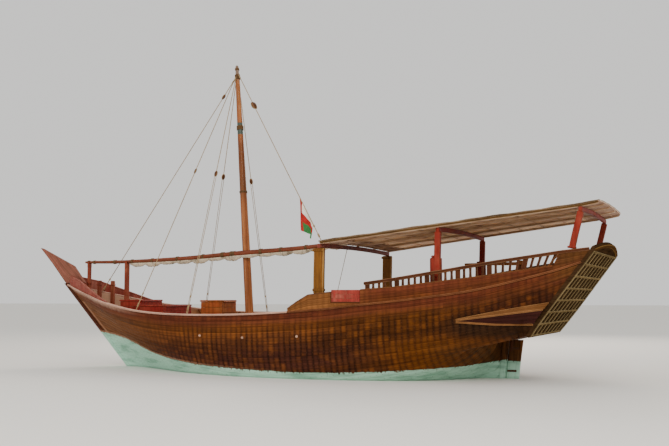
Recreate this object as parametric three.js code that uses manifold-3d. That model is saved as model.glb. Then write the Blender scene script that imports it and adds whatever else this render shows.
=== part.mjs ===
// A wooden dhow of the sambuk kind, afloat: raked stem with a horn-like head, raked transom,
// one mast with its yard lowered, a long mat-covered canopy over the poop, rudder and tiller.
// Millimetres. +X is the bow, +Y port, +Z up. The origin is on the waterline, amidships.

import * as THREE from "three";
import { mergeVertices } from "three/addons/utils/BufferGeometryUtils.js";
import Module from "manifold-3d";

const wasm = await Module();
wasm.setup();

// Clearances between touching, pinned and moving pieces.
const GAP = 0.3;
const PIN_GAP = 0.5;
const SWING_GAP = 8;

// The ends of the planking, seen from the side: x at the waterline and x gained per unit of z.
const STEM = { x: 5890, slope: 0.953 };
const STERN = { x: -5520, slope: -0.12 };
const TRANSOM = { x: -6650, z: 1180, slope: -0.762, thickness: 80, crown: 3470, lap: 25 };
const TUCK_Z = 1050;
const END_HALF = 70;
const POST_HALF = 90;
const POST_DEPTH = 150;

// How far forward, as a share of the length, the counter bends the lines and the transom's rake
// is taken up by what stands on the rail.
const COUNTER_REACH = 0.25;
const RAKE_REACH = 0.12;

// Where the keel runs into the stem: its lap, the slant of its fore end, and the stem's heel.
const FOREFOOT = { lap: 40, slant: 100, heel: 60, rise: 260 };
const STERN_POST_TOP = TUCK_Z - 12;

// The rabbet, where the planking meets the keel, falls a little from bow to stern.
const RABBET = { fore: -1050, aft: -1200 };
const KEEL_BOTTOM = { fore: -1250, aft: -1420 };

const BULWARK = { height: 500, thickness: 70 };
const RAIL = { depth: 45, outside: 35, inside: 95 };

// A deck's slab keeps a seam to the bulwark, and ends short of both ends of the planking.
const DECK = { depth: 40, seam: 12, leastHalf: 20, aft: 0.002, fore: 0.985 };

// Long enough to reach through whatever a piece is cut to.
const THROUGH = 1000;

// The sheer: the rail's top and the half-breadth of the planking there.
const SHEER = {
  columns: ["x", "z", "half"],
  rows: [
    [-8060, 2960, 2080],
    [-7300, 2720, 2200],
    [-5600, 2310, 2380],
    [-4000, 2080, 2520],
    [-2600, 1930, 2600],
    [-1500, 1810, 2620],
    [0, 1710, 2600],
    [1100, 1665, 2550],
    [2300, 1650, 2430],
    [3600, 1680, 2190],
    [4700, 1770, 1880],
    [6000, 1970, 1340],
    [6800, 2150, 930],
    [7600, 2340, 490],
    [8310, 2520, 80],
  ],
};

// Section shape along the hull: breadth grows as (1 - (1 - height) ^ full) ^ hollow.
const SECTIONS = {
  columns: ["at", "full", "hollow"],
  rows: [
    [0.0, 5.0, 40],
    [0.03, 5.0, 26],
    [0.1, 5.0, 9],
    [0.2, 4.8, 3.2],
    [0.3, 4.5, 1.5],
    [0.42, 4.2, 0.92],
    [0.55, 4.0, 0.78],
    [0.7, 3.0, 0.82],
    [0.82, 2.1, 0.92],
    [0.92, 1.5, 1.0],
    [1.0, 1.2, 1.0],
  ],
};

// Half-breadth of the transom by height.
const TRANSOM_SHAPE = {
  columns: ["z", "half"],
  rows: [
    [1180, 1950],
    [1500, 2110],
    [2000, 2170],
    [2960, 2080],
    [3300, 2060],
  ],
};

// Top of the raised strake over the quarters, and top of the handrail above it.
const STRAKE = {
  columns: ["x", "z"],
  rows: [
    [-7290, 2860],
    [-5810, 2630],
    [-3500, 2360],
    [-1850, 2240],
    [-1230, 2170],
    [-900, 1990],
    [-640, 1815],
  ],
};
const HANDRAIL = {
  columns: ["x", "z"],
  rows: [
    [-8340, 3310],
    [-7330, 3200],
    [-4720, 2770],
    [-3500, 2580],
    [-2740, 2480],
  ],
  depth: 60,
  half: 55,
};
const QUARTER_FORE_X = -640;
const END_BLOCK_X = -7300;

// Balusters stand in groups between broader stanchions, forward of the solid end of the strake.
const BALUSTER = { fore: -2830, pitch: 152, width: 46, depth: 40, group: 5, stanchion: 105, clear: 60 };

const GATE = { fore: -1850, aft: -2650, sill: 1950, top: 2290, thickness: 45 };
const HINGE = { radius: 15, sides: 16 };

const POOP = { fore: -3000, height: 350 };

// The bow board grows from its toe, and has its full height over the last part of its length.
const BOW_BOARD = { aft: 5900, fore: 8160, toe: 20, height: 300, growth: 1.4, thickness: 50 };

// The stem head's outline in the centre plane, from the rail forward round the tip.
const STEM_HEAD = {
  outline: [
    [7690, 2560],
    [8420, 2545],
    [8960, 3170],
    [9460, 3690],
    [9360, 3660],
    [8130, 3090],
  ],
  thickness: 110,
};

const MAST = {
  foot: new THREE.Vector3(1808, 0, 1150),
  head: new THREE.Vector3(2320, 0, 9020),
  radii: [
    [0, 122],
    [0.25, 115],
    [0.6, 96],
    [0.92, 68],
    [1, 46],
  ],
  sides: 16,
  partners: { half: 270, depth: 130, sunk: 100 },
};

// The lowered yard, from its fore end to its aft end, with its radius at each point.
const YARD = {
  columns: ["x", "y", "z", "radius"],
  rows: [
    [7660, 60, 3200, 40],
    [6040, 130, 3195, 52],
    [4000, 175, 3260, 62],
    [1900, 226, 3390, 70],
    [0, 262, 3495, 64],
    [-1640, 295, 3665.5, 48],
  ],
  sides: 12,
};
const SAIL = { fore: 5940, aft: -1380, radius: 82, ends: 0.55 };
const PARREL = { radius: 24, x: 1958, steps: 10 };

// Where the yard and the sail bundled under it are drawn, among them both ends of the sail.
const YARD_PLACES = [7660, 6900, 6040, SAIL.fore, 5000, 4000, 2950, 1900, 950, 0, -800, SAIL.aft, -1640];

// The yard rests in a notch in each post's head, cut a little wider than the post.
const CRUTCHES = [
  { name: "crutch_post_fore", x: 7500, width: 100 },
  { name: "crutch_post_aft", x: 6040, width: 120 },
];
const NOTCH = { clear: 9, half: 200, rise: 300, hold: 0.4 };

// The roof's underside along the boat, and its half-width.
const ROOF = {
  columns: ["x", "z", "half"],
  rows: [
    [-1520, 3510, 2640],
    [-4650, 3880, 2400],
    [-8010, 4270, 2130],
    [-8430, 4350, 2090],
  ],
  depth: 45,
  camber: 50,
  across: [-1, -0.75, -0.5, -0.25, 0, 0.25, 0.5, 0.75, 1],
};
const PURLIN = { width: 60, depth: 60, fore: 5, aft: 25, seat: 2.8, places: [-0.96, -0.5, 0, 0.5, 0.96] };
const BEAM = { width: 90, depth: 110, overlap: 10, over: 60, seat: 0.4 };

// Canopy posts: foot x, head x, distance from the centreline, section, what they stand on, and
// the length and top of the cheek that thickens the foot.
const CANOPY_POSTS = {
  columns: ["name", "footX", "headX", "y", "long", "wide", "on", "cheek", "cheekTop"],
  rows: [
    ["front", -1500, -1520, 2545, 280, 110, "strake", 0, 0],
    ["middle", -4500, -4560, 2190, 150, 130, "poop", 290, 3080],
    ["aft", -7780, -8000, 2070, 150, 110, "handrail", 0, 0],
  ],
};
const POST_SUNK = 40;

// Boxes on the main deck: x range, half-width, top and lid thickness.
const DECK_BOXES = {
  columns: ["name", "aft", "fore", "half", "top", "lid", "colour"],
  rows: [
    ["locker_fore", 5240, 5920, 620, 2030, 45, "red"],
    ["locker_aft", 4300, 5100, 800, 1880, 45, "red"],
    ["hatch", 2520, 3220, 430, 2020, 50, "ochre"],
  ],
};
const LID_OVERHANG = 25;
const BOX_WALL = 35;
const BARREL_SHARE = 0.8;

// Standing rigging: the side and x of each foot, and how far down the block hangs.
const STAYS = {
  columns: ["name", "x", "y", "block", "blockSize"],
  rows: [
    ["forestay", 7300, -330, 0.09, 90],
    ["shroud_port_fore", 4450, 1930, 0.42, 90],
    ["shroud_starboard_fore", 4450, -1930, 0.42, 90],
    ["shroud_port_aft", 2480, 2400, 0.44, 90],
    ["shroud_starboard_aft", 2480, -2400, 0.44, 90],
  ],
  radius: 11,
  sides: 6,
  headZ: 8690,
  headStep: 25,
  footSunk: 20,
};
const BACKSTAY = { foot: [-1560, 2545], block: 0.22, blockSize: 150, headZ: 8780, footSunk: 12 };

// A block's outline: how far along from its middle and how thick, as shares of its size.
const BLOCK = {
  outline: [
    [-1, 0.3],
    [-0.55, 0.5],
    [0.55, 0.5],
    [1, 0.3],
  ],
  sides: 8,
};

// The flag: its stretch of the backstay, how far each end hangs, and how far it is blown along.
const FLAG = { high: 0.77, low: 0.92, drop: 950, lowDrop: 400, fly: 190, thickness: 8 };

const RUDDER = {
  axisX: -5765,
  slope: -0.12,
  lead: 50,
  thickness: 80,
  stockRadius: 55,
  stockFoot: 700,
  stockTop: 3060,
  sides: 24,
  tillerTop: 3020,
  outline: [
    [-6170, 1000],
    [-6085, 410],
    [-6040, 0],
    [-6330, -500],
    [-6420, -1100],
    [-6330, -1380],
  ],
};
const TRUNK = { radius: 75, foot: 350, head: 3000 };
const TILLER = { length: 1500, width: 70, depth: 90, head: 180, cap: 20 };

// The wedge on each quarter, from its tip to the transom: its heights there, the share of the
// height where its ridge runs, and how far it is let into the planking.
const MOULDING = {
  tip: { x: -5050, z: 1530, half: 30 },
  lower: 1450,
  upper: 1970,
  ridge: 0.7,
  edge: 14,
  proud: 170,
  sunk: 150,
  stages: 6,
};

const LATTICE = { across: 8, along: 7, width: 50, depth: 34, inset: 12, range: [1220, 3240] };
const MOORING_POST = { x: 6900, y: 340, size: 110, top: 2620 };

const COLOURS = {
  hull: 0x7a3f22,
  keel: 0x9fb5a5,
  rail: 0xb98a72,
  red: 0x9c3328,
  ochre: 0xa8642f,
  brown: 0x5f3420,
  mast: 0xa85a24,
  mat: 0x8d7b66,
  lattice: 0x6e5a34,
  canvas: 0xcfc6b0,
  rope: 0xc2a87c,
  flag: 0xc03a34,
  deck: 0x94704c,
};

const dhow = new THREE.Group();

// Reading the tables.

function rowsOf(table) {
  return table.rows.map((row) => Object.fromEntries(table.columns.map((name, i) => [name, row[i]])));
}

// One column of a table along its first, smoothly curved unless it is read as straight stretches.
function read(table, column, at, straight = false) {
  const index = table.columns.indexOf(column);
  const rows = [...table.rows].sort((a, b) => a[0] - b[0]);
  let i = rows.findIndex((row) => row[0] > at) - 1;
  if (i < 0) i = at < rows[0][0] ? 0 : rows.length - 2;
  const [a, b] = [rows[i], rows[i + 1]];
  const t = (at - a[0]) / (b[0] - a[0]);
  if (straight || t < 0 || t > 1) return THREE.MathUtils.lerp(a[index], b[index], t);
  const before = rows[i - 1] ?? a;
  const after = rows[i + 2] ?? b;
  const slopeA = (b[index] - before[index]) / (b[0] - before[0]);
  const slopeB = (after[index] - a[index]) / (after[0] - a[0]);
  const span = b[0] - a[0];
  return (
    a[index] * (1 + 2 * t) * (1 - t) ** 2 +
    slopeA * span * t * (1 - t) ** 2 +
    b[index] * t * t * (3 - 2 * t) +
    slopeB * span * t * t * (t - 1)
  );
}

// Solids.

function solidOf(geometry) {
  const bare = geometry.clone();
  bare.deleteAttribute("normal");
  bare.deleteAttribute("uv");
  const merged = mergeVertices(bare, 1e-3);
  return new wasm.Manifold(
    new wasm.Mesh({
      numProp: 3,
      vertProperties: new Float32Array(merged.attributes.position.array),
      triVerts: new Uint32Array(merged.index.array),
    }),
  );
}

function geometryOf(solid) {
  const mesh = solid.getMesh();
  const geometry = new THREE.BufferGeometry();
  geometry.setAttribute("position", new THREE.BufferAttribute(mesh.vertProperties, 3));
  geometry.setIndex(new THREE.BufferAttribute(mesh.triVerts, 1));
  return geometry;
}

function join(...geometries) {
  return geometryOf(geometries.map(solidOf).reduce((a, b) => a.add(b)));
}

function cut(geometry, ...cutters) {
  return geometryOf(cutters.map(solidOf).reduce((a, b) => a.subtract(b), solidOf(geometry)));
}

function addPiece(name, geometry, colour, roughness = 0.75, group = dhow) {
  const faceted = geometry.index ? geometry.toNonIndexed() : geometry.clone();
  faceted.computeVertexNormals();
  const material = new THREE.MeshStandardMaterial({ color: COLOURS[colour], roughness, metalness: 0 });
  const mesh = new THREE.Mesh(faceted, material);
  mesh.name = name;
  group.add(mesh);
  return mesh;
}

// Volume enclosed by an indexed surface, negative where its faces point inwards.
function volumeOf(points, faces) {
  const cross = new THREE.Vector3();
  let volume = 0;
  for (let i = 0; i < faces.length; i += 3) {
    const [a, b, c] = [points[faces[i]], points[faces[i + 1]], points[faces[i + 2]]];
    volume += a.dot(cross.crossVectors(b, c)) / 6;
  }
  return volume;
}

// A closed solid through rings of equally many points. Strips across a ring close each end,
// so point i of a ring lies opposite point count - 1 - i.
function loft(rings) {
  const count = rings[0].length;
  const points = rings.flat();
  const faces = [];
  for (let r = 0; r + 1 < rings.length; r += 1) {
    for (let i = 0; i < count; i += 1) {
      const a = r * count + i;
      const b = r * count + ((i + 1) % count);
      faces.push(a, b, b + count, a, b + count, a + count);
    }
  }
  const last = (rings.length - 1) * count;
  for (let i = 0; i < count / 2 - 1; i += 1) {
    const far = count - 1 - i;
    faces.push(i, far, far - 1, i, far - 1, i + 1);
    faces.push(last + i, last + i + 1, last + far - 1, last + i, last + far - 1, last + far);
  }
  if (volumeOf(points, faces) < 0) faces.reverse();
  const geometry = new THREE.BufferGeometry();
  const flat = points.flatMap((p) => [p.x, p.y, p.z]);
  geometry.setAttribute("position", new THREE.Float32BufferAttribute(flat, 3));
  geometry.setIndex(faces);
  return geometry;
}

function box(low, high) {
  const size = high.map((value, i) => value - low[i]);
  const centre = high.map((value, i) => (value + low[i]) / 2);
  return new THREE.BoxGeometry(...size).translate(...centre);
}

// A plate of an outline in the x-z plane, centred on a distance from the centreline.
function plate(outline, thickness, y = 0) {
  const shape = new THREE.Shape(outline.map(([x, z]) => new THREE.Vector2(x, z)));
  const geometry = new THREE.ExtrudeGeometry(shape, { depth: thickness, bevelEnabled: false });
  return geometry.rotateX(Math.PI / 2).translate(0, y + thickness / 2, 0);
}

// A round bar from point to point, with a radius at each.
function spar(stops, sides) {
  const up = new THREE.Vector3(0, 0, 1);
  const rings = stops.map(({ at, radius }, i) => {
    const before = stops[Math.max(i - 1, 0)].at;
    const after = stops[Math.min(i + 1, stops.length - 1)].at;
    const along = after.clone().sub(before).normalize();
    const turn = new THREE.Quaternion().setFromUnitVectors(up, along);
    return Array.from({ length: sides }, (_, k) => {
      const angle = ((k + 0.5) / sides) * 2 * Math.PI;
      const arm = new THREE.Vector3(Math.cos(angle), Math.sin(angle), 0).multiplyScalar(radius);
      return arm.applyQuaternion(turn).add(at);
    });
  });
  return loft(rings);
}

// The planking as a surface: at runs from 0 at the stern to 1 at the stem, and level from 0 at
// the rabbet through 1 at the deck's edge to 2 at the rail's top.

function sternX(z) {
  const { x, z: foot, slope } = TRANSOM;
  return z > TUCK_Z + 1 ? x + slope * (z - foot) : STERN.x + STERN.slope * z;
}

function stemX(z) {
  return STEM.x + STEM.slope * z;
}

const [SHEER_AFT_ROW, SHEER_FORE_ROW] = [SHEER.rows[0], SHEER.rows.at(-1)];
const SHEER_AFT = sternX(SHEER_AFT_ROW[1]);
const SHEER_FORE = stemX(SHEER_FORE_ROW[1]);

function atSheer(x) {
  return (x - SHEER_AFT) / (SHEER_FORE - SHEER_AFT);
}

function heightAt(at, level) {
  const rabbet = THREE.MathUtils.lerp(RABBET.aft, RABBET.fore, at);
  const rail = read(SHEER, "z", THREE.MathUtils.lerp(SHEER_AFT, SHEER_FORE, at));
  const deck = rail - BULWARK.height;
  return level <= 1
    ? THREE.MathUtils.lerp(rabbet, deck, level)
    : THREE.MathUtils.lerp(deck, rail, level - 1);
}

// The hollow of the sections is read through its logarithm, so that it falls evenly.
const HOLLOW = {
  columns: ["at", "log"],
  rows: rowsOf(SECTIONS).map(({ at, hollow }) => [at, Math.log(hollow)]),
};

function halfAt(at, z) {
  if (at === 0) return z > TUCK_Z + 1 ? read(TRANSOM_SHAPE, "half", z) : END_HALF;
  const rabbet = heightAt(at, 0);
  const height = (z - rabbet) / (heightAt(at, 2) - rabbet);
  const half = read(SHEER, "half", THREE.MathUtils.lerp(SHEER_AFT, SHEER_FORE, at));
  const full = read(SECTIONS, "full", at);
  const hollow = Math.exp(read(HOLLOW, "log", at));
  const shape = (1 - (1 - Math.min(height, 1)) ** full) ** hollow;
  return Math.max(END_HALF, half * shape);
}

// The lines run from a plain slanting stern to the stem, and near the stern they bend to the
// stern post below the tuck and to the transom above it.
function lengthwise(at, level) {
  const z = heightAt(0, level);
  const plain = THREE.MathUtils.mapLinear(z, RABBET.aft, heightAt(0, 2), sternX(RABBET.aft), SHEER_AFT);
  const bend = (sternX(z) - plain) * Math.max(0, 1 - at / COUNTER_REACH) ** 2;
  return THREE.MathUtils.lerp(plain, stemX(heightAt(1, level)), at) + bend;
}

function exactPoint(at, level) {
  const z = heightAt(at, level);
  return new THREE.Vector3(lengthwise(at, level), halfAt(at, z), z);
}

const BULWARK_TOP = 2 - RAIL.depth / BULWARK.height;
const TUCK_LEVEL = (TUCK_Z - heightAt(0, 0)) / (heightAt(0, 1) - heightAt(0, 0));
const COUNTER_LEVEL = (TRANSOM.z - heightAt(0, 0)) / (heightAt(0, 1) - heightAt(0, 0));
const LEVELS = [0, 0.05, 0.12, 0.2, 0.29, 0.38, 0.47, 0.55, TUCK_LEVEL, COUNTER_LEVEL, 0.74, 0.87, 1];
const STATIONS = [
  0, 0.03, 0.07, 0.12, 0.18, 0.25, 0.33, 0.42, 0.5, 0.58, 0.65, 0.72, 0.78, 0.84, 0.89, 0.93, 0.965, 1,
];

// Between two stations every piece follows the straight facet, so that neighbours stay parallel.
function skin(at, level) {
  const i = Math.max(0, STATIONS.findIndex((s) => s >= at) - 1);
  const [a, b] = [STATIONS[i], STATIONS[i + 1]];
  return exactPoint(a, level).lerp(exactPoint(b, level), (at - a) / (b - a));
}

function span(from, to) {
  return [from, ...STATIONS.filter((s) => s > from + 1e-6 && s < to - 1e-6), to];
}

function moved(point, x, y, z) {
  return new THREE.Vector3(point.x + x, point.y + y, point.z + z);
}

function mirrored(points) {
  return [...points, ...points.map((p) => new THREE.Vector3(p.x, -p.y, p.z)).reverse()];
}

// Port pieces are drawn, and the starboard ones are their mirror image.
function sided(geometry, side) {
  if (side > 0) return geometry;
  const copy = geometry.clone().scale(1, -1, 1);
  if (copy.index) copy.index.array.reverse();
  return copy;
}

const SIDES = [
  { name: "port", side: 1 },
  { name: "starboard", side: -1 },
];

// The point at a height above the rail over the quarter, kept on the transom's plane at the stern.
function aboveRail(at, z, inset = 0) {
  const rail = skin(at, 2);
  const lean = TRANSOM.slope * Math.max(0, 1 - at / RAKE_REACH);
  return new THREE.Vector3(rail.x + lean * (z - rail.z), rail.y - inset, z);
}

// Stations between two places, with the turning points of a profile among them.
function spanWith(from, to, turns) {
  return [...span(from, to), ...turns.map(atSheer).filter((at) => at > from && at < to)]
    .sort((a, b) => a - b)
    .filter((at, i, all) => i === 0 || at - all[i - 1] > 1e-5);
}

function strakePlaces() {
  const turns = [...STRAKE.rows.map(([x]) => x), END_BLOCK_X];
  return spanWith(0, atSheer(QUARTER_FORE_X - GAP), turns);
}

function handrailPlaces() {
  const turns = HANDRAIL.rows.map(([x]) => x);
  return spanWith(DECK.aft, atSheer(turns.at(-1)), turns);
}

function strakeTop(at) {
  const { x } = skin(at, 2);
  return x < END_BLOCK_X ? handrailTop(at) - HANDRAIL.depth - GAP : read(STRAKE, "z", x, true);
}

function handrailTop(at) {
  return read(HANDRAIL, "z", skin(at, 2).x, true);
}

// Hull, keel and end posts.

function hullForm(topLevel, outset = 0, levels = LEVELS) {
  return loft(
    STATIONS.map((at) => {
      const kept = [...levels.filter((level) => level < topLevel), topLevel];
      return mirrored(kept.map((level) => moved(skin(at, level), 0, outset, 0)));
    }),
  );
}

function rudderAxisX(z) {
  return RUDDER.axisX + RUDDER.slope * z;
}

// A round bar on the rudder's raked axis.
function raked(low, high, radius) {
  const stops = [low, high].map((z) => ({ at: new THREE.Vector3(rudderAxisX(z), 0, z), radius }));
  return spar(stops, RUDDER.sides);
}

// The radius of such a bar whose flat sides stand clear of the stock by a gap.
function aroundStock(gap) {
  return RUDDER.stockRadius / Math.cos(Math.PI / RUDDER.sides) + gap;
}

function addHull() {
  addPiece("hull", cut(hullForm(1), raked(TRUNK.foot, TRUNK.head, TRUNK.radius)), "hull");

  const [heel, toe] = [exactPoint(0, 0), exactPoint(1, 0)];
  const rabbetZ = (x) => THREE.MathUtils.mapLinear(x, heel.x, toe.x, heel.z, toe.z);
  const { lap, slant, heel: stemHeel, rise } = FOREFOOT;
  const [aft, fore] = [heel.x - POST_DEPTH, toe.x - lap];
  const sole = RUDDER.outline.at(-1)[0];
  const keel = [
    [aft, rabbetZ(aft) - GAP],
    [fore, rabbetZ(fore) - GAP],
    [fore - slant, KEEL_BOTTOM.fore],
    [sole, KEEL_BOTTOM.aft - lap],
    [sole, KEEL_BOTTOM.aft],
    [aft - GAP, KEEL_BOTTOM.aft],
  ];
  addPiece("keel", plate(keel, 2 * POST_HALF), "keel");

  const stemTop = STEM_HEAD.outline[1][1] - GAP;
  const stem = [
    [toe.x + GAP, toe.z],
    [fore + GAP, rabbetZ(fore)],
    [fore - slant + GAP, KEEL_BOTTOM.fore],
    [toe.x + lap / 2, KEEL_BOTTOM.fore + stemHeel],
    [stemX(toe.z + rise) + POST_DEPTH, toe.z + rise],
    [stemX(stemTop) + POST_DEPTH, stemTop],
    [stemX(stemTop) + GAP, stemTop],
  ];
  addPiece("stem_post", plate(stem, 2 * POST_HALF), "brown");
  addPiece("stem_head", plate(STEM_HEAD.outline, STEM_HEAD.thickness), "red");

  const stern = [
    [sternX(heel.z) - GAP, heel.z],
    [sternX(STERN_POST_TOP) - GAP, STERN_POST_TOP],
    [sternX(STERN_POST_TOP) - POST_DEPTH, STERN_POST_TOP],
    [sternX(heel.z) - POST_DEPTH, heel.z],
  ];
  addPiece("stern_post", plate(stern, 2 * POST_HALF), "keel");
}

// Decks: slabs laid inside the bulwarks on the hull's flat top.

function deckSlab(from, to, low, high, inset = BULWARK.thickness + DECK.seam) {
  return loft(
    span(from, to).map((at) => {
      const edge = skin(at, 1);
      const upper = skin(at, 1 + Math.max(0, high) / BULWARK.height);
      const half = Math.max(DECK.leastHalf, Math.min(edge.y, upper.y) - inset);
      return mirrored([low, high].map((z) => new THREE.Vector3(edge.x, half, edge.z + z)));
    }),
  );
}

const POOP_AT = atSheer(POOP.fore);
const MAIN_DECK_TOP = DECK.depth + GAP;

// What stands on a deck is cut to the deck's slope.
const mainDeckCutter = () => deckSlab(POOP_AT, DECK.fore, -THROUGH, MAIN_DECK_TOP + GAP, 0);
const poopDeckCutter = () => deckSlab(DECK.aft, POOP_AT, -THROUGH, POOP.height + GAP, 0);

function addDecks() {
  const gapAt = GAP / (SHEER_FORE - SHEER_AFT);
  addPiece("main_deck", deckSlab(POOP_AT + gapAt, DECK.fore, GAP, MAIN_DECK_TOP), "deck");
  const poop = deckSlab(DECK.aft, POOP_AT, GAP, POOP.height);
  addPiece("poop_deck", cut(poop, raked(TUCK_Z, RUDDER.stockTop, aroundStock(PIN_GAP))), "deck");
}

// Bulwarks, rails and the raised strake over the quarters.

// A wall on the planking's line: outer foot, outer head, inner head and inner foot at each place.
function wall(places, footOf, headOf, thickness) {
  return loft(
    places.map((at) => {
      const [foot, head] = [footOf(at), headOf(at)];
      const inner = (p) => new THREE.Vector3(p.x, Math.max(6, p.y - thickness), p.z);
      return [foot, head, inner(head), inner(foot)];
    }),
  );
}

function addBulwarks({ name, side }) {
  const lift = (at, level) => moved(skin(at, level), 0, 0, GAP);
  const bulwark = wall(
    STATIONS,
    (at) => lift(at, 1),
    (at) => skin(at, BULWARK_TOP),
    BULWARK.thickness,
  );
  addPiece(`bulwark_${name}`, sided(bulwark, side), "hull");

  const rail = wall(
    span(atSheer(QUARTER_FORE_X), 1),
    (at) => moved(lift(at, BULWARK_TOP), 0, RAIL.outside, 0),
    (at) => moved(skin(at, 2), 0, RAIL.outside, 0),
    RAIL.outside + RAIL.inside,
  );
  addPiece(`rail_${name}`, sided(rail, side), "rail");

  // The raised strake, with the rail's outer edge carried on along it as a band.
  const strake = wall(
    strakePlaces(),
    (at) => lift(at, BULWARK_TOP),
    (at) => aboveRail(at, strakeTop(at)),
    BULWARK.thickness,
  );
  const band = wall(
    strakePlaces(),
    (at) => moved(lift(at, BULWARK_TOP), 0, RAIL.outside, 0),
    (at) => moved(skin(at, 2), 0, RAIL.outside, 0),
    RAIL.outside + BULWARK.thickness / 2,
  );
  const raised = join(strake, band);
  const opening = box([GATE.aft, THROUGH, GATE.sill], [GATE.fore, 3 * THROUGH, 3 * THROUGH]);
  addPiece(`quarter_bulwark_${name}`, sided(side > 0 ? cut(raised, opening) : raised, side), "hull");

  const { toe, height, growth } = BOW_BOARD;
  const [aft, fore] = [BOW_BOARD.aft, BOW_BOARD.fore].map(atSheer);
  const board = wall(
    span(aft, fore),
    (at) => lift(at, 2),
    (at) => {
      const grown = Math.min(1, (growth * (at - aft)) / (fore - aft));
      return moved(skin(at, 2), 0, 0, THREE.MathUtils.lerp(toe, height, grown));
    },
    BOW_BOARD.thickness,
  );
  const cleared = cut(board, plate(STEM_HEAD.outline, STEM_HEAD.thickness + 2 * GAP));
  addPiece(`bow_board_${name}`, sided(cleared, side), "red");
}

// Height at x of a line whose points run from aft to fore, and the highest between two x.
function heightOn(line, x) {
  const next = line.findIndex((point) => point.x >= x);
  const [aft, fore] = [line[Math.max(1, next) - 1], line[Math.max(1, next)]];
  return THREE.MathUtils.mapLinear(x, aft.x, fore.x, aft.z, fore.z);
}

function highestOn(line, aft, fore) {
  const between = line.filter(({ x }) => x > aft && x < fore).map(({ z }) => z);
  return Math.max(heightOn(line, aft), heightOn(line, fore), ...between);
}

// Handrail on its balusters, as one open balustrade along each quarter.
function addBalustrade({ name, side }) {
  const mid = BULWARK.thickness / 2 - HANDRAIL.half;
  const handrail = wall(
    handrailPlaces(),
    (at) => aboveRail(at, handrailTop(at) - HANDRAIL.depth, mid),
    (at) => aboveRail(at, handrailTop(at), mid),
    2 * HANDRAIL.half,
  );
  const strakeLine = strakePlaces().map((at) => aboveRail(at, strakeTop(at)));
  const count = Math.floor((BALUSTER.fore - END_BLOCK_X - BALUSTER.clear) / BALUSTER.pitch);
  const balusters = Array.from({ length: count }, (_, i) => {
    const x = BALUSTER.fore - i * BALUSTER.pitch;
    const half = (i % BALUSTER.group === 0 ? BALUSTER.stanchion : BALUSTER.width) / 2;
    const foot = highestOn(strakeLine, x - half, x + half) + GAP;
    const y = skin(atSheer(x), 2).y - BULWARK.thickness / 2;
    const head = handrailTop(atSheer(x + half)) - HANDRAIL.depth / 2;
    return box([x - half, y - BALUSTER.depth / 2, foot], [x + half, y + BALUSTER.depth / 2, head]);
  });
  addPiece(`balustrade_${name}`, sided(join(handrail, ...balusters), side), "brown");
}

// A board hinged on a round barrel that turns about the barrel's own axis.
function barrel(from, to) {
  const stops = [from, to].map((p) => ({ at: new THREE.Vector3(...p), radius: HINGE.radius }));
  return spar(stops, HINGE.sides);
}

// The gate fills the gap in the port strake. Its barrel turns against the gap's aft end.
function addGate() {
  const axisX = GATE.aft + HINGE.radius + PIN_GAP;
  const inner = (x) => skin(atSheer(x), 2).y - BULWARK.thickness;
  const axisY = inner(GATE.aft) + HINGE.radius;
  const foreX = GATE.fore - SWING_GAP;
  const ring = (z) =>
    [
      [axisX, inner(axisX)],
      [axisX, inner(axisX) + GATE.thickness],
      [foreX, inner(foreX) + GATE.thickness],
      [foreX, inner(foreX)],
    ].map(([px, py]) => new THREE.Vector3(px, py, z));
  const foot = GATE.sill + SWING_GAP;
  const hinge = barrel([axisX, axisY, foot], [axisX, axisY, GATE.top]);
  addPiece("boarding_gate", join(loft([ring(foot), ring(GATE.top)]), hinge), "red");
}

// Transom: a raked panel with a crowned head, and crossed battens over its aft face.

const TRANSOM_NORMAL = new THREE.Vector3(-1, 0, TRANSOM.slope).normalize();
const TRANSOM_SEAM = 2;

function onTransom(y, z, out) {
  const x = TRANSOM.x + TRANSOM.slope * (z - TRANSOM.z);
  return new THREE.Vector3(x, y, z).addScaledVector(TRANSOM_NORMAL, out);
}

function transomTop(y) {
  const corner = TRANSOM_SHAPE.rows.at(-1);
  return TRANSOM.crown - (TRANSOM.crown - corner[0]) * (y / corner[1]) ** 2;
}

// Heights up the transom's sides and distances across its head where its outline is drawn.
const TRANSOM_EDGE = { sides: [1180, 1340, 1500, 2000, 2500, 2960, 3300], head: [1500, 900, 300] };

function addTransom() {
  const outline = (out) =>
    mirrored([
      ...TRANSOM_EDGE.sides.map((z) => onTransom(read(TRANSOM_SHAPE, "half", z) + TRANSOM.lap, z, out)),
      ...TRANSOM_EDGE.head.map((y) => onTransom(y, transomTop(y), out)),
    ]);
  addPiece("transom", loft([outline(GAP), outline(TRANSOM.thickness)]), "lattice");
  addPiece("transom_lattice", lattice(), "lattice");
}

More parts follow.
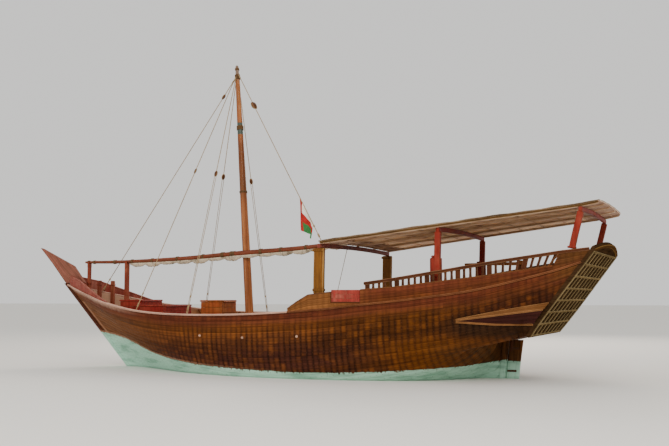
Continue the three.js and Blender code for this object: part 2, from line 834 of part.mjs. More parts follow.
// Crossed battens as one plate with windows: a grid of cells in which every second one each way
// is left open, with a wall wherever a filled cell meets an open one or the outside.
function lattice() {
  const { across, along, width, depth, inset, range } = LATTICE;
  const [lowZ, highZ] = range;
  // Both edges of each batten, as shares of the way over the panel.
  const lines = (count, wide) => {
    const pitch = (1 - wide) / count;
    const edges = Array.from({ length: count }, (_, i) => [i * pitch, i * pitch + wide]);
    return [...edges.flat(), 1 - wide, 1];
  };
  const us = lines(across, width / (2 * read(TRANSOM_SHAPE, "half", lowZ)));
  const vs = lines(along, width / (highZ - lowZ));
  const corner = (i, j, face) => {
    const z = THREE.MathUtils.lerp(lowZ, highZ, vs[j]);
    const half = read(TRANSOM_SHAPE, "half", z) - inset;
    return onTransom((2 * us[i] - 1) * half, z, TRANSOM.thickness + GAP + face * depth);
  };
  const filled = (i, j) =>
    i >= 0 && j >= 0 && i < us.length - 1 && j < vs.length - 1 && !(i % 2 === 1 && j % 2 === 1);
  const points = [];
  const quad = (a, b, c, d) => points.push(a, b, c, a, c, d);
  // A wall along one edge of a cell, between its two corners.
  const side = (a, b) => quad(corner(...a, 0), corner(...b, 0), corner(...b, 1), corner(...a, 1));
  for (let i = 0; i < us.length - 1; i += 1) {
    for (let j = 0; j < vs.length - 1; j += 1) {
      if (!filled(i, j)) continue;
      const ring = [[i, j], [i + 1, j], [i + 1, j + 1], [i, j + 1]];
      quad(...ring.map((at) => corner(...at, 0)));
      quad(...[...ring].reverse().map((at) => corner(...at, 1)));
      if (!filled(i - 1, j)) side(ring[0], ring[3]);
      if (!filled(i + 1, j)) side(ring[2], ring[1]);
      if (!filled(i, j - 1)) side(ring[1], ring[0]);
      if (!filled(i, j + 1)) side(ring[3], ring[2]);
    }
  }
  const geometry = new THREE.BufferGeometry().setFromPoints(points);
  return mergeVertices(geometry, 1e-3);
}

// A wedge that grows out of each quarter towards the transom.
function addMoulding({ name, side }, form) {
  const { tip, lower, upper, edge, proud, sunk, stages } = MOULDING;
  const rings = Array.from({ length: stages + 1 }, (_, i) => {
    const t = i / stages;
    const low = THREE.MathUtils.lerp(tip.z - tip.half, lower, Math.min(1, t * 2));
    const high = THREE.MathUtils.lerp(tip.z + tip.half, upper, t);
    const ridge = THREE.MathUtils.lerp(low, high, MOULDING.ridge);
    const out = (z, proudness) => {
      const x = THREE.MathUtils.lerp(tip.x, sternX(z) + TRANSOM_SEAM, t);
      return new THREE.Vector3(x, halfBreadth(x, z) + proudness, z);
    };
    return [
      out(low, -sunk),
      out(low, edge),
      out(ridge, THREE.MathUtils.lerp(edge, proud, t)),
      out(high, edge),
      out(high, -sunk),
      out(ridge, -sunk),
    ];
  });
  addPiece(`quarter_moulding_${name}`, cut(sided(loft(rings), side), form), "ochre");
}

// Half-breadth of the planking at a place given by x and height, found by closing in on it.
function halfBreadth(x, z) {
  const turns = 40;
  let at = THREE.MathUtils.clamp(atSheer(x), 0, 1);
  let level = 1;
  for (let turn = 0; turn < turns; turn += 1) {
    const [low, deck, rail] = [0, 1, 2].map((step) => heightAt(at, step));
    level = z < deck ? (z - low) / (deck - low) : 1 + (z - deck) / (rail - deck);
    const miss = (x - lengthwise(at, level)) / (SHEER_FORE - SHEER_AFT);
    at = THREE.MathUtils.clamp(at + miss, 0, 1);
  }
  return skin(at, level).y;
}

// Mast and its partners.

function mastPoint(t) {
  return MAST.foot.clone().lerp(MAST.head, t);
}

function mastRadius(t) {
  return read({ columns: ["t", "r"], rows: MAST.radii }, "r", t, true);
}

function mastForm(gap) {
  const outset = gap / Math.cos(Math.PI / MAST.sides);
  const stops = MAST.radii.map(([t, radius]) => ({ at: mastPoint(t), radius: radius + outset }));
  return spar(stops, MAST.sides);
}

function addMast() {
  addPiece("mast", cut(mastForm(0), mainDeckCutter()), "mast");
  const { half, depth, sunk } = MAST.partners;
  const { x } = MAST.foot;
  const top = skin(atSheer(x), 1).z + MAIN_DECK_TOP + depth;
  const block = box([x - half, -half, top - depth - sunk], [x + half, half, top]);
  addPiece("mast_partners", cut(block, mastForm(GAP), mainDeckCutter()), "brown");
}

// The yard with the furled sail under it and the parrel that holds it to the mast.

function yardAt(x) {
  const z = read(YARD, "z", x);
  return { at: new THREE.Vector3(x, read(YARD, "y", x), z), radius: read(YARD, "radius", x) };
}

function addYard() {
  addPiece("yard", spar(YARD_PLACES.map(yardAt), YARD.sides), "brown");

  const sail = YARD_PLACES.filter((x) => x <= SAIL.fore && x >= SAIL.aft).map((x) => {
    const { at, radius } = yardAt(x);
    const size = x === SAIL.fore || x === SAIL.aft ? SAIL.radius * SAIL.ends : SAIL.radius;
    const drop = (radius + size) * Math.cos(Math.PI / YARD.sides) + PIN_GAP;
    return { at: moved(at, 0, 0, -drop), radius: size };
  });
  addPiece("furled_sail", cut(spar(sail, YARD.sides), yardForm(GAP)), "canvas");

  const { at, radius } = yardAt(PARREL.x);
  const t = (at.z - MAST.foot.z) / (MAST.head.z - MAST.foot.z);
  const mast = mastPoint(t);
  const reach = mastRadius(t) + SWING_GAP + PARREL.radius;
  const out = reach + 2 * PARREL.radius;
  const strop = new THREE.Shape();
  strop.moveTo(-out, at.y);
  strop.absarc(0, 0, out, Math.PI, 2 * Math.PI);
  strop.lineTo(out, at.y);
  strop.lineTo(reach, at.y);
  strop.absarc(0, 0, reach, 2 * Math.PI, Math.PI, true);
  strop.lineTo(-reach, at.y);
  const depth = 2 * PARREL.radius;
  const settings = { depth, bevelEnabled: false, curveSegments: PARREL.steps };
  const band = new THREE.ExtrudeGeometry(strop, settings);
  band.translate(mast.x, mast.y, at.z - PARREL.radius);
  addPiece("parrel", cut(band, yardForm(GAP)), "rope");
}

// The yard made a little stouter, to cut what touches it.
function yardForm(gap) {
  const outset = gap / Math.cos(Math.PI / YARD.sides);
  const stops = YARD_PLACES.map(yardAt).map(({ at, radius }) => ({ at, radius: radius + outset }));
  return spar(stops, YARD.sides);
}

// Posts that hold the lowered yard over the bow.
function addCrutches() {
  for (const { name, x, width } of CRUTCHES) {
    const { at, radius } = yardAt(x);
    const half = width / 2;
    const wide = half + NOTCH.clear;
    const post = box([x - half, at.y - half, at.z - 2 * THROUGH], [x + half, at.y + half, at.z]);
    const above = box(
      [x - wide, at.y - NOTCH.half, at.z - radius * NOTCH.hold],
      [x + wide, at.y + NOTCH.half, at.z + NOTCH.rise],
    );
    addPiece(name, cut(post, yardForm(GAP), above, mainDeckCutter()), "red");
  }
}

// Canopy: frame of beams and fore-and-aft poles on six posts, with a matting roof over it.

function roofPoint(x, across, drop) {
  const y = across * read(ROOF, "half", x, true);
  const crown = ROOF.camber * (1 - across * across);
  return new THREE.Vector3(x, y, read(ROOF, "z", x, true) + crown - drop);
}

const BEAM_TOP = PURLIN.depth - BEAM.overlap;

// A round of four corners about a point, as shares of half a width and half a depth.
const CORNERS = [
  [-1, -1],
  [-1, 1],
  [1, 1],
  [1, -1],
];

function purlin(place) {
  const [front, middle, back, end] = ROOF.rows.map(([x]) => x);
  return loft(
    [front - PURLIN.fore, middle, back, end + PURLIN.aft].map((x) => {
      const centre = roofPoint(x, place, PURLIN.seat + PURLIN.depth / 2);
      return CORNERS.map(([a, b]) => moved(centre, 0, (a * PURLIN.width) / 2, (b * PURLIN.depth) / 2));
    }),
  );
}

function beam({ headX, y }) {
  const half = y + BEAM.over;
  const edge = read(ROOF, "half", headX, true);
  const places = [-half, -half / 2, 0, half / 2, half].map((py) => py / edge);
  const ring = (dx) => {
    const line = (drop) => places.map((across) => moved(roofPoint(headX, across, drop), dx, 0, 0));
    return [...line(BEAM_TOP), ...line(BEAM_TOP + BEAM.depth).reverse()];
  };
  return loft([ring(-BEAM.width / 2), ring(BEAM.width / 2)]);
}

function canopyPost(post) {
  const edge = read(ROOF, "half", post.headX, true);
  const drop = BEAM_TOP + BEAM.depth + BEAM.seat;
  const sides = [post.y - post.wide / 2, post.y + post.wide / 2];
  const head = Math.min(...sides.map((y) => roofPoint(post.headX, y / edge, drop).z));
  const foot = footOf(post);
  const ring = (x, z, long) =>
    CORNERS.map(([a, b]) => new THREE.Vector3(x + (a * long) / 2, post.y + (b * post.wide) / 2, z));
  const drawn = loft([ring(post.footX, foot, post.long), ring(post.headX, head, post.long)]);
  if (!post.cheek) return drawn;
  const cheek = loft([ring(post.footX, foot, post.cheek), ring(post.footX, post.cheekTop, post.cheek)]);
  return join(drawn, cheek);
}

function addCanopy() {
  const roof = loft(
    ROOF.rows.map(([x]) => [
      ...ROOF.across.map((a) => roofPoint(x, a, 0)),
      ...ROOF.across.map((a) => roofPoint(x, a, -ROOF.depth)).reverse(),
    ]),
  );
  addPiece("canopy_roof", roof, "mat");
  const posts = rowsOf(CANOPY_POSTS);
  addPiece("canopy_frame", join(...PURLIN.places.map(purlin), ...posts.map(beam)), "brown");
  for (const { name, side } of SIDES) {
    for (const post of posts) {
      const colour = post.name === "front" ? "ochre" : "red";
      const standing = cut(canopyPost(post), ledges[post.on]());
      addPiece(`post_${post.name}_${name}`, sided(standing, side), colour);
    }
  }
}

// Each post is drawn into what it stands on, and then cut back to it.
const ledges = {
  poop: poopDeckCutter,
  strake: () => ledgeCutter(strakePlaces(), strakeTop),
  handrail: () => ledgeCutter(handrailPlaces(), handrailTop),
};

function footOf({ footX, on }) {
  const at = atSheer(footX);
  const tops = { poop: skin(at, 1).z + POOP.height, strake: strakeTop(at), handrail: handrailTop(at) };
  return tops[on] - POST_SUNK;
}

// A broad wall under the line that a post stands on.
function ledgeCutter(places, topOf) {
  const outset = THROUGH / 2;
  return wall(
    places,
    (at) => moved(skin(at, 1), 0, outset, 0),
    (at) => moved(aboveRail(at, topOf(at)), 0, outset, GAP),
    2 * outset,
  );
}

// Height of the main deck's top at a distance along the boat.
function deckTop(x) {
  const edge = span(POOP_AT, DECK.fore).map((at) => skin(at, 1));
  return heightOn(edge, x) + MAIN_DECK_TOP;
}

// Lockers and the hatch, each with a lid hinged along its aft edge.
function addDeckBoxes() {
  for (const { name, aft, fore, half, top, lid, colour } of rowsOf(DECK_BOXES)) {
    const body = box([aft, -half, top - lid - THROUGH], [fore, half, top - lid]);
    const floor = Math.max(...[aft, fore].map(deckTop)) + BOX_WALL;
    const hollow = half - BOX_WALL;
    const inside = box([aft + BOX_WALL, -hollow, floor], [fore - BOX_WALL, hollow, top]);
    addPiece(name, cut(body, inside, mainDeckCutter()), colour);
    const axisX = aft - HINGE.radius - PIN_GAP;
    const axisZ = top - lid + GAP;
    const wide = half + LID_OVERHANG;
    const panel = box([axisX, -wide, axisZ], [fore + LID_OVERHANG, wide, top]);
    const hinge = barrel([axisX, -half * BARREL_SHARE, axisZ], [axisX, half * BARREL_SHARE, axisZ]);
    addPiece(`${name}_lid`, join(panel, hinge), colour);
  }
}

// Standing rigging.

function rope(head, foot, blockAt, blockSize) {
  const along = foot.clone().sub(head);
  const line = spar([head, foot].map((at) => ({ at, radius: STAYS.radius })), STAYS.sides);
  const middle = head.clone().addScaledVector(along, blockAt);
  const reach = along.normalize().multiplyScalar(blockSize);
  const stops = BLOCK.outline.map(([t, r]) => {
    return { at: middle.clone().addScaledVector(reach, t), radius: r * blockSize };
  });
  return join(line, spar(stops, BLOCK.sides));
}

// A stay is drawn from inside the mast's side, and then cut back to the mast.
function stayHead(z, foot) {
  const t = (z - MAST.foot.z) / (MAST.head.z - MAST.foot.z);
  const centre = mastPoint(t);
  const away = new THREE.Vector3(foot.x - centre.x, foot.y, 0).normalize();
  return centre.addScaledVector(away, mastRadius(t) / 2);
}

function addRigging() {
  for (const [i, { name, x, y, block, blockSize }] of rowsOf(STAYS).entries()) {
    const side = Math.sign(y);
    const rail = skin(atSheer(x), 2);
    const foot = new THREE.Vector3(x, y, rail.z - STAYS.footSunk);
    const line = rope(stayHead(STAYS.headZ + STAYS.headStep * i, foot), foot, block, blockSize);
    const outset = THROUGH / 2;
    const railForm = wall(
      span(atSheer(x - outset), atSheer(x + outset)),
      (at) => moved(skin(at, 1), 0, outset, 0),
      (at) => moved(skin(at, 2), 0, outset, GAP),
      2 * outset,
    );
    addPiece(name, cut(line, sided(railForm, side), mastForm(GAP)), "rope");
  }
  const { footSunk, headZ, block, blockSize } = BACKSTAY;
  const [x, y] = BACKSTAY.foot;
  const roofZ = roofPoint(x, y / read(ROOF, "half", x, true), -ROOF.depth).z;
  const foot = new THREE.Vector3(x, y, roofZ - footSunk);
  const head = stayHead(headZ, foot);
  const reach = THROUGH / 2;
  const roofForm = box([x - reach, y - reach, roofZ - reach], [x + reach, y + reach, roofZ + footSunk]);
  addPiece("backstay", cut(rope(head, foot, block, blockSize), roofForm, mastForm(GAP)), "rope");
  addFlag(head, foot);
}

// A small flag hanging limp from the backstay, just above the canopy.
function addFlag(head, foot) {
  const along = foot.clone().sub(head);
  const flat = new THREE.Vector3(along.x, along.y, 0).normalize();
  const normal = new THREE.Vector3(-flat.y, flat.x, 0).multiplyScalar(FLAG.thickness / 2);
  const [top, low] = [FLAG.high, FLAG.low].map((t) => head.clone().addScaledVector(along, t));
  const tail = moved(top, 0, 0, -FLAG.drop).addScaledVector(flat, FLAG.fly);
  const outline = [top, low, moved(low, 0, 0, -FLAG.lowDrop), tail];
  const ring = (sign) => outline.map((p) => p.clone().addScaledVector(normal, sign));
  const line = spar([head, foot].map((at) => ({ at, radius: STAYS.radius + PIN_GAP })), STAYS.sides);
  addPiece("flag", cut(loft([ring(-1), ring(1)]), line), "flag");
}

// Rudder, its stock through the counter, and the tiller on the poop.
function addSteering() {
  const top = RUDDER.outline[0][1];
  const bottom = RUDDER.outline.at(-1)[1];
  const lead = [bottom, top].map((z) => [rudderAxisX(z) + RUDDER.lead, z]);
  const blade = plate([...lead, ...RUDDER.outline], RUDDER.thickness);
  const stock = raked(RUDDER.stockFoot, RUDDER.stockTop, RUDDER.stockRadius);
  addPiece("rudder", join(blade, stock), "brown");

  const z = RUDDER.tillerTop;
  const low = z - TILLER.depth;
  const x = rudderAxisX(low);
  const [half, headHalf] = [TILLER.width / 2, TILLER.head / 2];
  const bar = box([x, -half, low], [x + TILLER.length, half, z]);
  const head = box([x - headHalf, -headHalf, low], [x + headHalf, headHalf, z + TILLER.cap]);
  const eye = raked(low - TILLER.depth, z + TILLER.depth, aroundStock(GAP));
  addPiece("tiller", cut(join(bar, head), eye), "ochre");
}

// Mooring posts standing inside the bow.
function addMooringPost({ name, side }) {
  const { x, y, size, top } = MOORING_POST;
  const half = size / 2;
  const post = box([x - half, y - half, top - THROUGH], [x + half, y + half, top]);
  addPiece(`mooring_post_${name}`, sided(cut(post, mainDeckCutter()), side), "brown");
}

addHull();
addDecks();
const outerForm = hullForm(2, PIN_GAP);
for (const each of SIDES) {
  addBulwarks(each);
  addBalustrade(each);
  addMoulding(each, outerForm);
  addMooringPost(each);
}
addGate();
addTransom();
addMast();
addYard();
addCrutches();
addCanopy();
addDeckBoxes();
addRigging();
addSteering();

export default dhow;
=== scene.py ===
import math

import bpy
import numpy as np
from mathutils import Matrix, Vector


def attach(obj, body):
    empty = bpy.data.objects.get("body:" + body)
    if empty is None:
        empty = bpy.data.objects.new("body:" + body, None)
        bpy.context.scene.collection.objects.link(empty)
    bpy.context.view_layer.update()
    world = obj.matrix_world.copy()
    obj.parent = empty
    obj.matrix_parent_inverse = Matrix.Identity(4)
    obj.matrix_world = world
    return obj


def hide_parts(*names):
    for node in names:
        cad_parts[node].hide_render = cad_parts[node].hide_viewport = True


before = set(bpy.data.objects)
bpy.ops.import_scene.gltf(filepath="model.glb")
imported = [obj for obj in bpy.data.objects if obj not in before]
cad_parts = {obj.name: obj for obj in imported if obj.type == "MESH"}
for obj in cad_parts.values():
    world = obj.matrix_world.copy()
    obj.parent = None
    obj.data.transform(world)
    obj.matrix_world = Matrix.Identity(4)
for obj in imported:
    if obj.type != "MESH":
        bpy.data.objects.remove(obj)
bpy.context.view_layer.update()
print("Frame loaded")

# A wooden dhow afloat. Metres: +X is the bow, +Y port, +Z up, and z = 0 is the waterline.

# Camera: at eye height off the port quarter

shot = {
    "station": (-11.51, 25.08, 2.10), "heading": (.3913, -.921), "climb": 4.4, "lens": 52,
    "reach": 400,
}


def addCamera():
    data = bpy.data.cameras.new("camera")
    data.lens = shot["lens"]
    data.clip_end = shot["reach"]
    camera = bpy.data.objects.new("camera", data)
    bpy.context.scene.collection.objects.link(camera)
    camera.location = shot["station"]
    aim = Vector((*shot["heading"], math.tan(math.radians(shot["climb"]))))
    camera.rotation_euler = aim.to_track_quat("-Z", "Y").to_euler()
    bpy.context.scene.camera = camera


addCamera()

# Forms: points, faces grouped by their count of corners, each corner's place on the plank map
# (metres along, metres or strakes across), and one value a point for each mark


class Form:
    def __init__(self, points, faces, places, marks):
        self.points, self.faces, self.places, self.marks = points, faces, places, marks


def joined(forms):
    # Several forms as one: the corners of each count on from the points of those before it
    starts = np.cumsum([0, *(len(form.points) for form in forms[:-1])])
    faces = [some + start for form, start in zip(forms, starts) for some in form.faces]
    marks = {key: np.concatenate([form.marks[key] for form in forms]) for key in forms[0].marks}
    places = [some for form in forms for some in form.places]
    return Form(np.concatenate([form.points for form in forms]), faces, places, marks)


def reversedFaces(form):
    faces = [some[:, ::-1] for some in form.faces]
    return Form(form.points, faces, [some[:, ::-1] for some in form.places], form.marks)


def sided(form, side):
    # The starboard copy of a port form: y changes sign, and so does the turn of each face
    if side > 0:
        return form
    return reversedFaces(Form(form.points * (1, -1, 1), form.faces, form.places, form.marks))


def volumeOf(form):
    # A sixth of the triple product of each face's fan of triangles, added up
    total = 0
    for some in form.faces:
        first, *others = np.moveaxis(form.points[some], 1, 0)
        for second, third in zip(others, others[1:]):
            total += np.einsum("ij,ij->i", first, np.cross(second, third)).sum() / 6
    return total


def paired(form):
    return joined([form, sided(form, -1)])


def facedOut(form):
    return form if volumeOf(form) > 0 else reversedFaces(form)


def stacked(*parts):
    # Points, or places on the plank map, from their coordinates, each a number or a grid
    return np.stack(np.broadcast_arrays(*parts), axis=-1)


def closed(*parts):
    # A ring's places from those of its stretches, and the first line again to shut it
    return np.concatenate([*parts, parts[0][:, :1]], axis=1)


def lengthsAlong(points, axis):
    # Distance run along one direction of a grid, from its first line on
    steps = np.linalg.norm(np.diff(points, axis=axis), axis=-1)
    return np.concatenate([np.zeros_like(steps.take([0], axis)), np.cumsum(steps, axis)], axis)


def gridForm(points, places=None, caps="face", **marks):
    # A tube: quads between neighbouring rings, each ring's last point joined to its first. The ends
    # are shut by one face each, or, where a ring is its own mirror image, by strips across it
    rings, count = points.shape[:2]
    index = np.arange(rings * count).reshape(rings, count)
    around = np.concatenate([points, points[:, :1]], axis=1)
    if places is None:
        along = np.broadcast_to(lengthsAlong(points.mean(axis=1), 0)[:, None], around.shape[:2])
        places = stacked(along, lengthsAlong(around, 1))

    def quads(values):
        corners = [values[:-1, :-1], values[:-1, 1:], values[1:, 1:], values[1:, :-1]]
        return np.stack(corners, axis=2).reshape((-1, 4) + values.shape[2:])

    faces = [quads(np.concatenate([index, index[:, :1]], axis=1))]
    uvs = [quads(places)]
    flat = points.reshape(-1, 3)
    for ring, turn in ((index[0], -1), (index[-1], 1)):
        if caps == "face":
            ends = ring[None, ::turn]
        else:
            i = np.arange(count // 2 - 1)
            ends = ring[np.stack([i, i + 1, count - 2 - i, count - 1 - i], axis=1)][:, ::turn]
        faces.append(ends)
        uvs.append(flat[ends][..., 1:])
    marks = {key: np.broadcast_to(value, (rings, count)).ravel() * 1. for key, value in marks.items()}
    return facedOut(Form(flat, faces, uvs, marks))


def addPiece(name, form, paint, replaces, body="boat", crease=38, side=1):
    # One mesh from a form or a list of forms, mirrored to starboard where side is -1
    form = sided(joined(form) if isinstance(form, list) else form, side)
    mesh = bpy.data.meshes.new(name)
    mesh.vertices.add(len(form.points))
    mesh.vertices.foreach_set("co", form.points.astype(np.float32).ravel())
    corners = np.concatenate([some.ravel() for some in form.faces])
    counts = np.concatenate([np.full(len(some), some.shape[1]) for some in form.faces])
    mesh.loops.add(len(corners))
    mesh.loops.foreach_set("vertex_index", corners.astype(np.int32))
    mesh.polygons.add(len(counts))
    mesh.polygons.foreach_set("loop_start", (np.cumsum(counts) - counts).astype(np.int32))
    mesh.polygons.foreach_set("use_smooth", np.ones(len(counts), bool))
    uv = mesh.uv_layers.new(name="plank")
    flat = np.concatenate([some.reshape(-1, 2) for some in form.places])
    uv.data.foreach_set("uv", flat.astype(np.float32).ravel())
    for key, values in form.marks.items():
        mesh.attributes.new(key, "FLOAT", "POINT").data.foreach_set("value", values.astype(np.float32))
    mesh.update(calc_edges=True)
    mesh.validate()
    mesh.set_sharp_from_angle(angle=math.radians(crease))
    piece = bpy.data.objects.new(name, mesh)
    bpy.context.scene.collection.objects.link(piece)
    mesh.materials.append(paints[paint])
    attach(piece, body)
    if replaces:
        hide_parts(*([replaces] if isinstance(replaces, str) else replaces))
    return piece


# Every random draw comes from here, in the order of the pieces, so each run gives the same boat

rng = np.random.default_rng(11)


def framesOf(path, side):
    # At each point of a path: its direction, a side square to it, and the third direction
    along = np.gradient(path, axis=0)
    along /= np.linalg.norm(along, axis=1, keepdims=True)
    third = np.cross(along, side)
    third /= np.linalg.norm(third, axis=1, keepdims=True)
    return along, np.cross(third, along), third


def bar(path, width, depth, side=(0, 1, 0), chamfer=.006, sway=0, tone=None):
    # A squared timber: a rectangle with cut corners and a point in the middle of each side, carried
    # along a path, its ends drawn in by the chamfer; sway bends it by slow sines
    path = np.array(path, float)
    along, across, up = framesOf(path, np.array(side, float))
    tone = rng.random() if tone is None else tone
    if sway:
        run = np.linspace(0, math.tau, len(path))[:, None]
        path = path + sway * (across * np.sin(run * 1.3 + tone * 9) + up * np.sin(run * .9 + tone * 5))
    pick = np.concatenate([[0], np.arange(len(path)), [-1]])
    w = np.broadcast_to(np.asarray(width, float) / 2, len(path))[pick]
    d = np.broadcast_to(np.asarray(depth, float) / 2, len(path))[pick]
    path = path[pick]
    path[1] += along[0] * chamfer
    path[-2] -= along[-1] * chamfer
    ends = np.zeros(len(path))
    ends[[0, -1]] = chamfer
    w, d = w - ends, d - ends
    zero, narrow, shallow = 0 * w, w - chamfer, d - chamfer
    xs = stacked(-narrow, zero, narrow, w, w, w, narrow, zero, -narrow, -w, -w, -w)
    ys = stacked(-d, -d, -d, -shallow, zero, shallow, d, d, d, shallow, zero, -shallow)
    points = path[:, None] + xs[..., None] * across[pick][:, None] + ys[..., None] * up[pick][:, None]
    return gridForm(points, edge=np.tile([1, 0, 1], 4), tone=tone)


def straight(start, end, steps=2):
    return np.linspace(np.array(start, float), np.array(end, float), steps)


def beam(start, end, steps, width, depth, *shape, **more):
    return bar(straight(start, end, steps), width, depth, *shape, **more)


def tube(path, radius, sides=12, strands=0, lay=.15, reference=None, tone=None):
    # A round bar: a circle carried along a path; a rope's circle has three swellings that turn
    # once round in each lay
    path = np.array(path, float)
    if reference is None:
        reference = np.eye(3)[np.abs(path[-1] - path[0]).argmin()]
    _, across, up = framesOf(path, np.array(reference, float))
    angle = np.arange(sides) / sides * math.tau
    size = np.broadcast_to(np.asarray(radius, float), len(path))[:, None]
    if strands:
        run = lengthsAlong(path, 0)[:, None]
        size = size * (1 + .13 * np.cos(strands * angle[None] - run / lay * math.tau))
    arm = np.cos(angle)[None, :, None] * across[:, None] + np.sin(angle)[None, :, None] * up[:, None]
    tone = rng.random() if tone is None else tone
    return gridForm(path[:, None] + size[..., None] * arm, edge=0, tone=tone)


def ropeTurns(centre, axis, radius, thick, turns, steps=12):
    # Turns of rope round a spar: a helix about an axis, each turn one thickness further on
    axis = np.array(axis, float) / np.linalg.norm(axis)
    first = np.cross(axis, np.eye(3)[np.abs(axis).argmin()])
    first /= np.linalg.norm(first)
    angle = np.linspace(0, turns * math.tau, int(turns * steps) + 1)[:, None]
    arm = np.cos(angle) * first + np.sin(angle) * np.cross(axis, first)
    run = (angle / math.tau - turns / 2) * 2 * thick * 1.04
    return tube(np.array(centre) + arm * (radius + thick) + run * axis, thick, 7, reference=axis)


def studs(centres, normals, radius, height):
    # Nail heads: two hexagons, the upper one smaller and raised, on each centre
    normals = normals / np.linalg.norm(normals, axis=1, keepdims=True)
    first = np.cross(normals, (.31, .17, .94))      # any direction that no normal has
    first /= np.linalg.norm(first, axis=1, keepdims=True)
    second = np.cross(normals, first)
    angle = np.arange(6) / 6 * math.tau
    arm = np.cos(angle)[:, None] * first[:, None] + np.sin(angle)[:, None] * second[:, None]
    low = centres[:, None] + arm * radius - normals[:, None] * height
    high = centres[:, None] + arm * radius * .6 + normals[:, None] * height
    points = np.concatenate([low, high], axis=1).reshape(-1, 3)
    base = np.arange(len(centres))[:, None] * 12
    k = np.arange(6)
    sides = (base[..., None] + np.stack([k, (k + 1) % 6, (k + 1) % 6 + 6, k + 6], axis=1)).reshape(-1, 4)
    ends = np.concatenate([base + k[::-1], base + k + 6])
    places = [points[some][..., :2] for some in (sides, ends)]
    marks = {"edge": np.zeros(len(points)), "tone": np.repeat(rng.random(len(centres)), 12)}
    return facedOut(Form(points, [sides, ends], places, marks))


def plate(outline, low, high, along, chamfer=.012, tone=.5):
    # A flat timber: an outline in the x-z plane between two distances from the centreline, its
    # edges cut off; the plank map runs along a given direction in that plane
    outline = np.array(outline, float)
    following = np.roll(outline, -1, axis=0)
    ahead = following - outline
    ahead /= np.linalg.norm(ahead, axis=1, keepdims=True)
    back = np.roll(ahead, 1, axis=0)
    square = np.stack([-(ahead + back)[:, 1], (ahead + back)[:, 0]], axis=1)
    square /= np.einsum("ij,ij->i", square, np.stack([-ahead[:, 1], ahead[:, 0]], axis=1))[:, None]
    turn = np.sign(np.sum(outline[:, 0] * following[:, 1] - following[:, 0] * outline[:, 1]))
    inner = outline + turn * square * chamfer
    rings = []
    for ring, y in ((inner, low), (outline, low + chamfer), (outline, high - chamfer), (inner, high)):
        rings.append(stacked(ring[:, 0], y, ring[:, 1]))
    form = gridForm(np.array(rings), edge=1, tone=tone)
    along = np.array((along[0], 0, along[1]), float) / math.hypot(*along)
    turned = form.points @ np.stack([along, (-along[2], 1, along[0])], axis=1)
    form.places = [turned[some] for some in form.faces]
    return form


# Paint: each material is built by a Paint, and a Tone is a socket that takes arithmetic


def worked(operation):
    # A method that works out an operation on a Tone and whatever it is given
    return lambda tone, *others: tone.sum(operation, tone, *others)


class Tone:
    def __init__(self, paint, socket):
        self.paint, self.socket = paint, socket

    def sum(self, operation, *values):
        return self.paint.node("Math", {"operation": operation}, dict(enumerate(values)))

    def __rsub__(self, other):
        return self.sum("SUBTRACT", other, self)

    __add__ = __radd__ = worked("ADD")
    __mul__ = __rmul__ = worked("MULTIPLY")
    __sub__, __truediv__ = worked("SUBTRACT"), worked("DIVIDE")
    __pow__, __abs__ = worked("POWER"), worked("ABSOLUTE")
    floor, largest = worked("FLOOR"), worked("MAXIMUM")


